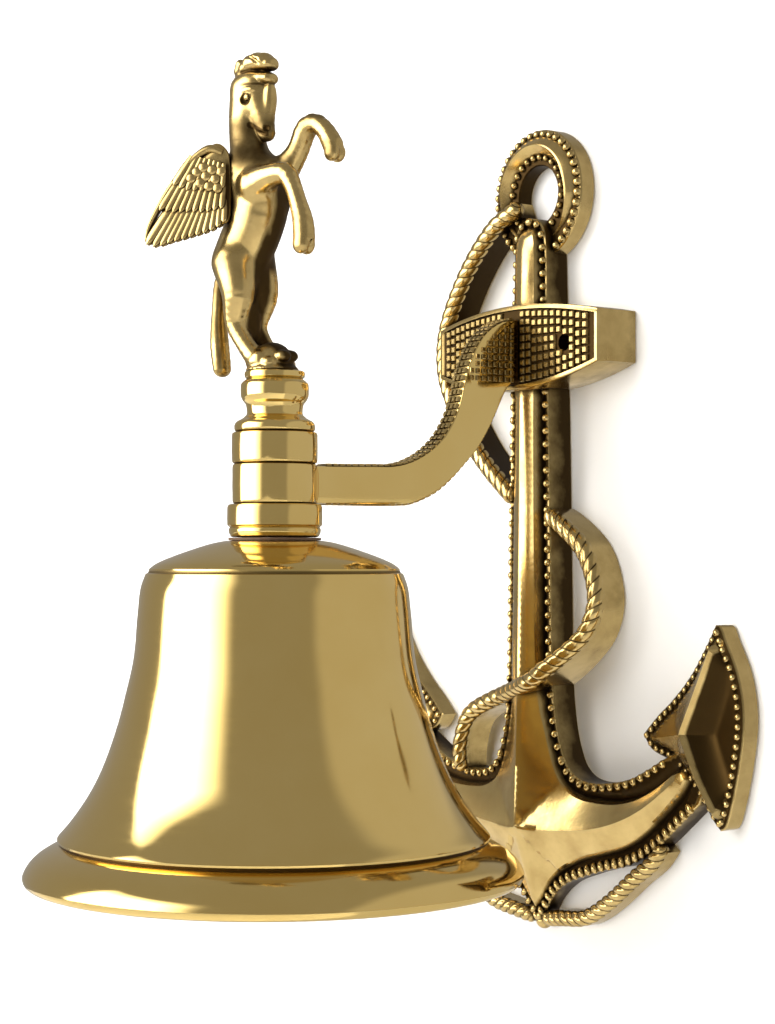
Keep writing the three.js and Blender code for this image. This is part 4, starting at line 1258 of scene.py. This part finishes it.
def wing_shape(side):
    """A wing with both faces feathered. side is 1 for the horse's left."""
    loop = anticlockwise(curve(WING_OUTLINE + WING_OUTLINE[:1], 0.5)[:-1])

    def depth_at(points):
        gap, _ = nearest(points, closed(loop))
        shoulder = smoothstep(points[:, 1] + 0.5 * points[:, 0], 3, 9)
        return 0.95 + 0.75 * shoulder * smoothstep(gap, 0, 2.5), 0.85 * (1 - shoulder)

    points, faces, recess = relief(loop, [], depth_at, 1.0, edge=0.4, wall_shade=0.2)
    half = (points * [1, -1, 1])[:, [0, 2, 1]], faces, recess
    face = merge(facing_out(half), wing_face())
    points, faces, recess = face
    points, faces, recess = merge(face, (points * [1, 1, -1], [f[::-1] for f in faces], recess))
    along = np.array([-0.87, side * 0.5, 0])
    out = np.array([0.5, side * 0.87, 0])
    root = np.array([-11.3, side * 9.0, 44])
    local = root + np.outer(points[:, 0], along) + np.outer(points[:, 1], [0, 0, 1])
    local = local + np.outer(points[:, 2], out)
    return facing_out(shape(horse_to_row(local), faces, recess))


# ---- Clapper and fixings ---------------------------------------------------------------------------

def torus(centre, major, wire, ring_axis, straight=0.0, sides=16, steps=64):
    """A ring of round wire. ring_axis is 0 for a ring that faces X and 1 for one that faces Y."""
    rings = []
    for k in range(steps):
        angle = 2 * math.pi * k / steps
        c, s = math.cos(angle), math.sin(angle)
        lift = straight / 2 if s > 0 else -straight / 2
        middle = np.array([0.0, 0.0, major * s + lift])
        outward = np.array([0.0, 0.0, s])
        middle[1 - ring_axis], outward[1 - ring_axis] = major * c, c
        side = np.zeros(3)
        side[ring_axis] = 1
        around = np.linspace(0, 2 * math.pi, sides, endpoint=False)
        rings.append(np.asarray(centre) + middle + wire * (np.outer(np.cos(around), outward)
                                                           + np.outer(np.sin(around), side)))
    return tube(rings, closed=True)


def rod_z(radius, bottom, top, segments=40, edge=0.3):
    profile = [[0.01, bottom], [radius - edge, bottom], [radius, bottom + edge], [radius, top - edge],
               [radius - edge, top], [0.01, top]]
    return lathe(profile, segments, BELL_AXIS)


def hanger_shape():
    low, high = node_box("clapper_hanger")
    eye = torus((BELL_X, BELL_Y, low[2] + 4.9), 3.3, 1.6, 1)
    boss = rod_z(3.4, low[2] + 8.4, high[2])
    return merge(eye, boss)


def link_shape():
    low, high = node_box("clapper_link")
    middle = (low + high) / 2
    wire = 1.4
    outer = (high[2] - low[2]) / 2
    major = (max(high[0] - low[0], high[1] - low[1])) / 2 - wire
    ring_axis = 0 if high[0] - low[0] < high[1] - low[1] else 1
    return torus(middle, major, wire, ring_axis, 2 * (outer - wire - major))


def clapper_rod_shape():
    low, high = node_box("clapper_rod")
    eye = torus((BELL_X, BELL_Y, high[2] - 4.9), 3.3, 1.6, 1)
    return merge(eye, rod_z(3.0, low[2], high[2] - 8.2))


def ball_shape():
    low, high = node_box("clapper_ball")
    middle, half, radius = (low[2] + high[2]) / 2, (high[2] - low[2]) / 2, (high[0] - low[0]) / 2
    outside = []
    for k in range(33):
        z = -half + 2 * half * k / 32
        outside.append([math.sqrt(max(radius ** 2 - z ** 2, 0.01)), middle + z])
    profile = [[3.15, middle - half]] + outside + [[3.15, middle + half]]
    return lathe(profile, 72, BELL_AXIS)


def lanyard_eye_shape():
    low, high = node_box("lanyard_eye")
    eye = torus((BELL_X, BELL_Y, low[2] + 3.6), 2.4, 1.2, 1)
    return merge(eye, rod_z(2.6, low[2] + 5.6, high[2]))


# ---- Stage -----------------------------------------------------------------------------------------

def sheet_object(name, centre, right, up, material):
    """A flat rectangle from its middle and its two half sides, in metres."""
    centre, right, up = Vector(centre), Vector(right), Vector(up)
    corners = [centre - right - up, centre + right - up, centre + right + up, centre - right + up]
    mesh = bpy.data.meshes.new(name)
    mesh.from_pydata([tuple(c) for c in corners], [], [(0, 1, 2, 3)])
    obj = bpy.data.objects.new(name, mesh)
    bpy.context.scene.collection.objects.link(obj)
    mesh.materials.append(material)
    return obj


def pale_paint(name, colour, see_through_back=False):
    material, tree, shader = node_material(name)
    grain = noise(tree, 3, 2, 0.5)
    deep = tuple(c * 0.985 for c in colour[:3]) + (1,)
    tree.links.new(blended(tree, grain, colour, deep), shader.inputs["Base Color"])
    shader.inputs["Roughness"].default_value = 0.9
    if see_through_back:
        facing = add(tree, "ShaderNodeNewGeometry")
        clear = add(tree, "ShaderNodeBsdfTransparent")
        mix = add(tree, "ShaderNodeMixShader", {0: facing.outputs["Backfacing"]})
        output = next(n for n in tree.nodes if n.type == "OUTPUT_MATERIAL")
        tree.links.new(shader.outputs[0], mix.inputs[1])
        tree.links.new(clear.outputs[0], mix.inputs[2])
        tree.links.new(mix.outputs[0], output.inputs[0])
    return material


def direction_share(tree, direction, axis, low, high):
    """How far the looking direction leans towards an axis, eased from 0 to 1 between two limits."""
    lean = add(tree, "ShaderNodeVectorMath", {0: direction, 1: axis}, operation="DOT_PRODUCT")
    made = add(tree, "ShaderNodeMapRange",
               {"Value": lean.outputs["Value"], "From Min": low, "From Max": high},
               interpolation_type="SMOOTHSTEP")
    return made.outputs[0]


def toward(azimuth):
    """A level unit vector. Azimuth 0 is straight out of the wall and 90 is to the right along it."""
    angle = math.radians(azimuth)
    return (math.sin(angle), -math.cos(angle), 0.0)


def studio_world():
    """Soft grey surroundings with a tall window at the left of the camera and dim space behind it."""
    world = bpy.data.worlds.new("studio")
    bpy.context.scene.world = world
    world.use_nodes = True
    tree = world.node_tree
    background = next(n for n in tree.nodes if n.type == "BACKGROUND")
    direction = add(tree, "ShaderNodeTexCoord").outputs["Generated"]
    level = add(tree, "ShaderNodeSeparateXYZ", {0: direction}).outputs["Z"]
    window = calculate(tree, "MULTIPLY", direction_share(tree, direction, toward(39), 0.0, 0.09),
                       direction_share(tree, direction, toward(-64), 0.02, 0.55))
    window = calculate(tree, "MULTIPLY", window, remap(tree, level, 0.62, 0.74, 1, 0))
    window = calculate(tree, "MULTIPLY", window, remap(tree, level, -0.85, -0.6, 0, 1))
    bright_side = direction_share(tree, direction, toward(144), 0.52, 0.66)
    grey = calculate(tree, "ADD", calculate(tree, "MULTIPLY", bright_side, 0.22), 0.34)
    from_below = calculate(tree, "MULTIPLY", remap(tree, level, -0.5, -1.0, 0, 1), 0.8)
    grey = calculate(tree, "ADD", grey, from_below)
    total = calculate(tree, "ADD", grey, calculate(tree, "MULTIPLY", window, 6.0))
    tree.links.new(total, background.inputs["Strength"])
    background.inputs["Color"].default_value = (1.0, 0.97, 0.92, 1)


def studio():
    """Pale wall and floor in the soft light of the surroundings."""
    studio_world()
    wall = sheet_object("stage_wall", (0, 0.0005, 0.1), (3.0, 0, 0), (0, 0, 1.6),
                        pale_paint("wall_paint", (0.93, 0.93, 0.93, 1), True))
    wall.visible_glossy = False
    wall.visible_shadow = False
    sheet_object("stage_floor", (0, -1.0, -0.9), (3.0, 0, 0), (0, 3.0, 0),
                 pale_paint("floor_paint", (0.9, 0.9, 0.9, 1)))
    bpy.context.scene.view_settings.view_transform = "Standard"


def camera():
    data = bpy.data.cameras.new("photo_camera")
    data.sensor_width, data.lens, data.shift_y = SENSOR, LENS, SHIFT_Y
    data.clip_start, data.clip_end = 0.05, 20
    obj = bpy.data.objects.new("photo_camera", data)
    bpy.context.scene.collection.objects.link(obj)
    obj.location = PHOTO_CAMERA * MM
    looking = Vector((-math.sin(PHOTO_AZIMUTH), math.cos(PHOTO_AZIMUTH), 0))
    obj.rotation_mode = "QUATERNION"
    obj.rotation_quaternion = looking.to_track_quat("-Z", "Y")
    bpy.context.scene.camera = obj


# ---- The object ------------------------------------------------------------------------------------

BODIES = {"clapper_link": "link", "clapper_rod": "clapper", "clapper_ball": "clapper",
          "lanyard_eye": "clapper"}  # every other piece rides on the bracket


def build():
    """Every piece, and the materials of the CAD nodes that stay."""
    made = {
        "polished_brass": polished_brass(),
        "antique_brass": cast_brass("antique_brass", (0.66, 0.485, 0.20, 1), (0.50, 0.35, 0.13, 1),
                                    (0.045, 0.026, 0.008, 1)),
        "clapper_brass": cast_brass("clapper_brass", (0.66, 0.49, 0.23, 1), (0.52, 0.37, 0.16, 1),
                                    (0.10, 0.06, 0.02, 1), 0.26),
        "figure_brass": cast_brass("figure_brass", (0.66, 0.485, 0.20, 1), (0.48, 0.34, 0.13, 1),
                                   (0.06, 0.035, 0.011, 1), 0.2),
        "zinc_steel": plated_steel(),
        "leather": waxed_leather()}
    swag = swag_shape()
    rows = [
        ("bell_turned", bell_shape(), "polished_brass", "bell", 28),
        ("ferrule_turned", ferrule_shape(), "polished_brass", "lower_ferrule", 35),
        ("collar_turned", collar_shape(), "polished_brass", "upper_collar", 35),
        ("pedestal_turned", pedestal_shape(), "polished_brass", "finial_pedestal", 35),
        ("anchor_detailed", anchor_shape(), "antique_brass", "anchor_casting", 30),
        ("rope_upper_twisted", rope_upper_shape(), "antique_brass", "anchor_rope_upper", 50),
        ("rope_lower_twisted", rope_lower_shape(), "antique_brass", "anchor_rope_lower", 50),
        ("swag_right_twisted", swag, "antique_brass", "swag_rope_right", 50),
        ("swag_left_twisted", mirrored(swag), "antique_brass", "swag_rope_left", 50),
        ("stock_bar", stock_shape(), "antique_brass", "anchor_stock", 35),
        ("stock_knurling", stock_knurl(), "antique_brass", None, 35),
        ("arm_plate", merge(arm_shape(), hub_shape()), "polished_brass", "bracket_arm", 35),
        ("arm_knurling", arm_grip(), "antique_brass", None, 35),
        ("hanger_eye", hanger_shape(), "zinc_steel", "clapper_hanger", 35),
        ("clapper_link_wire", link_shape(), "zinc_steel", "clapper_link", 35),
        ("clapper_rod_eye", clapper_rod_shape(), "clapper_brass", "clapper_rod", 35),
        ("clapper_ball_turned", ball_shape(), "clapper_brass", "clapper_ball", 35),
        ("lanyard_eye_wire", lanyard_eye_shape(), "clapper_brass", "lanyard_eye", 35),
        ("horse_sculpted", horse_shape(), "figure_brass", "finial_horse", 60),
        ("wing_left_feathered", wing_shape(1), "figure_brass", "finial_wing_left", 50),
        ("wing_right_feathered", wing_shape(-1), "figure_brass", "finial_wing_right", 50)]
    for name, form, slot, node, crease in rows:
        obj = piece(name, form, made[slot], BODIES.get(node, "bracket"), node, crease)
        if name == "stock_bar":
            holes = [(side * WALL_HOLE_X, WALL_HOLE_Z) for side in (-1, 1)]
            drilled(obj, holes, WALL_HOLE_RADIUS, -30, 5)
    kept = {node: "zinc_steel" for node in ("centre_stud", "crown_nut", "nut_washer", "arm_screw_upper",
                                            "arm_screw_lower")}
    kept["crown_washer"] = "leather"
    for node, slot in kept.items():
        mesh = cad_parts[node].data
        mesh.materials.clear()
        mesh.materials.append(made[slot])


build()
studio()
camera()
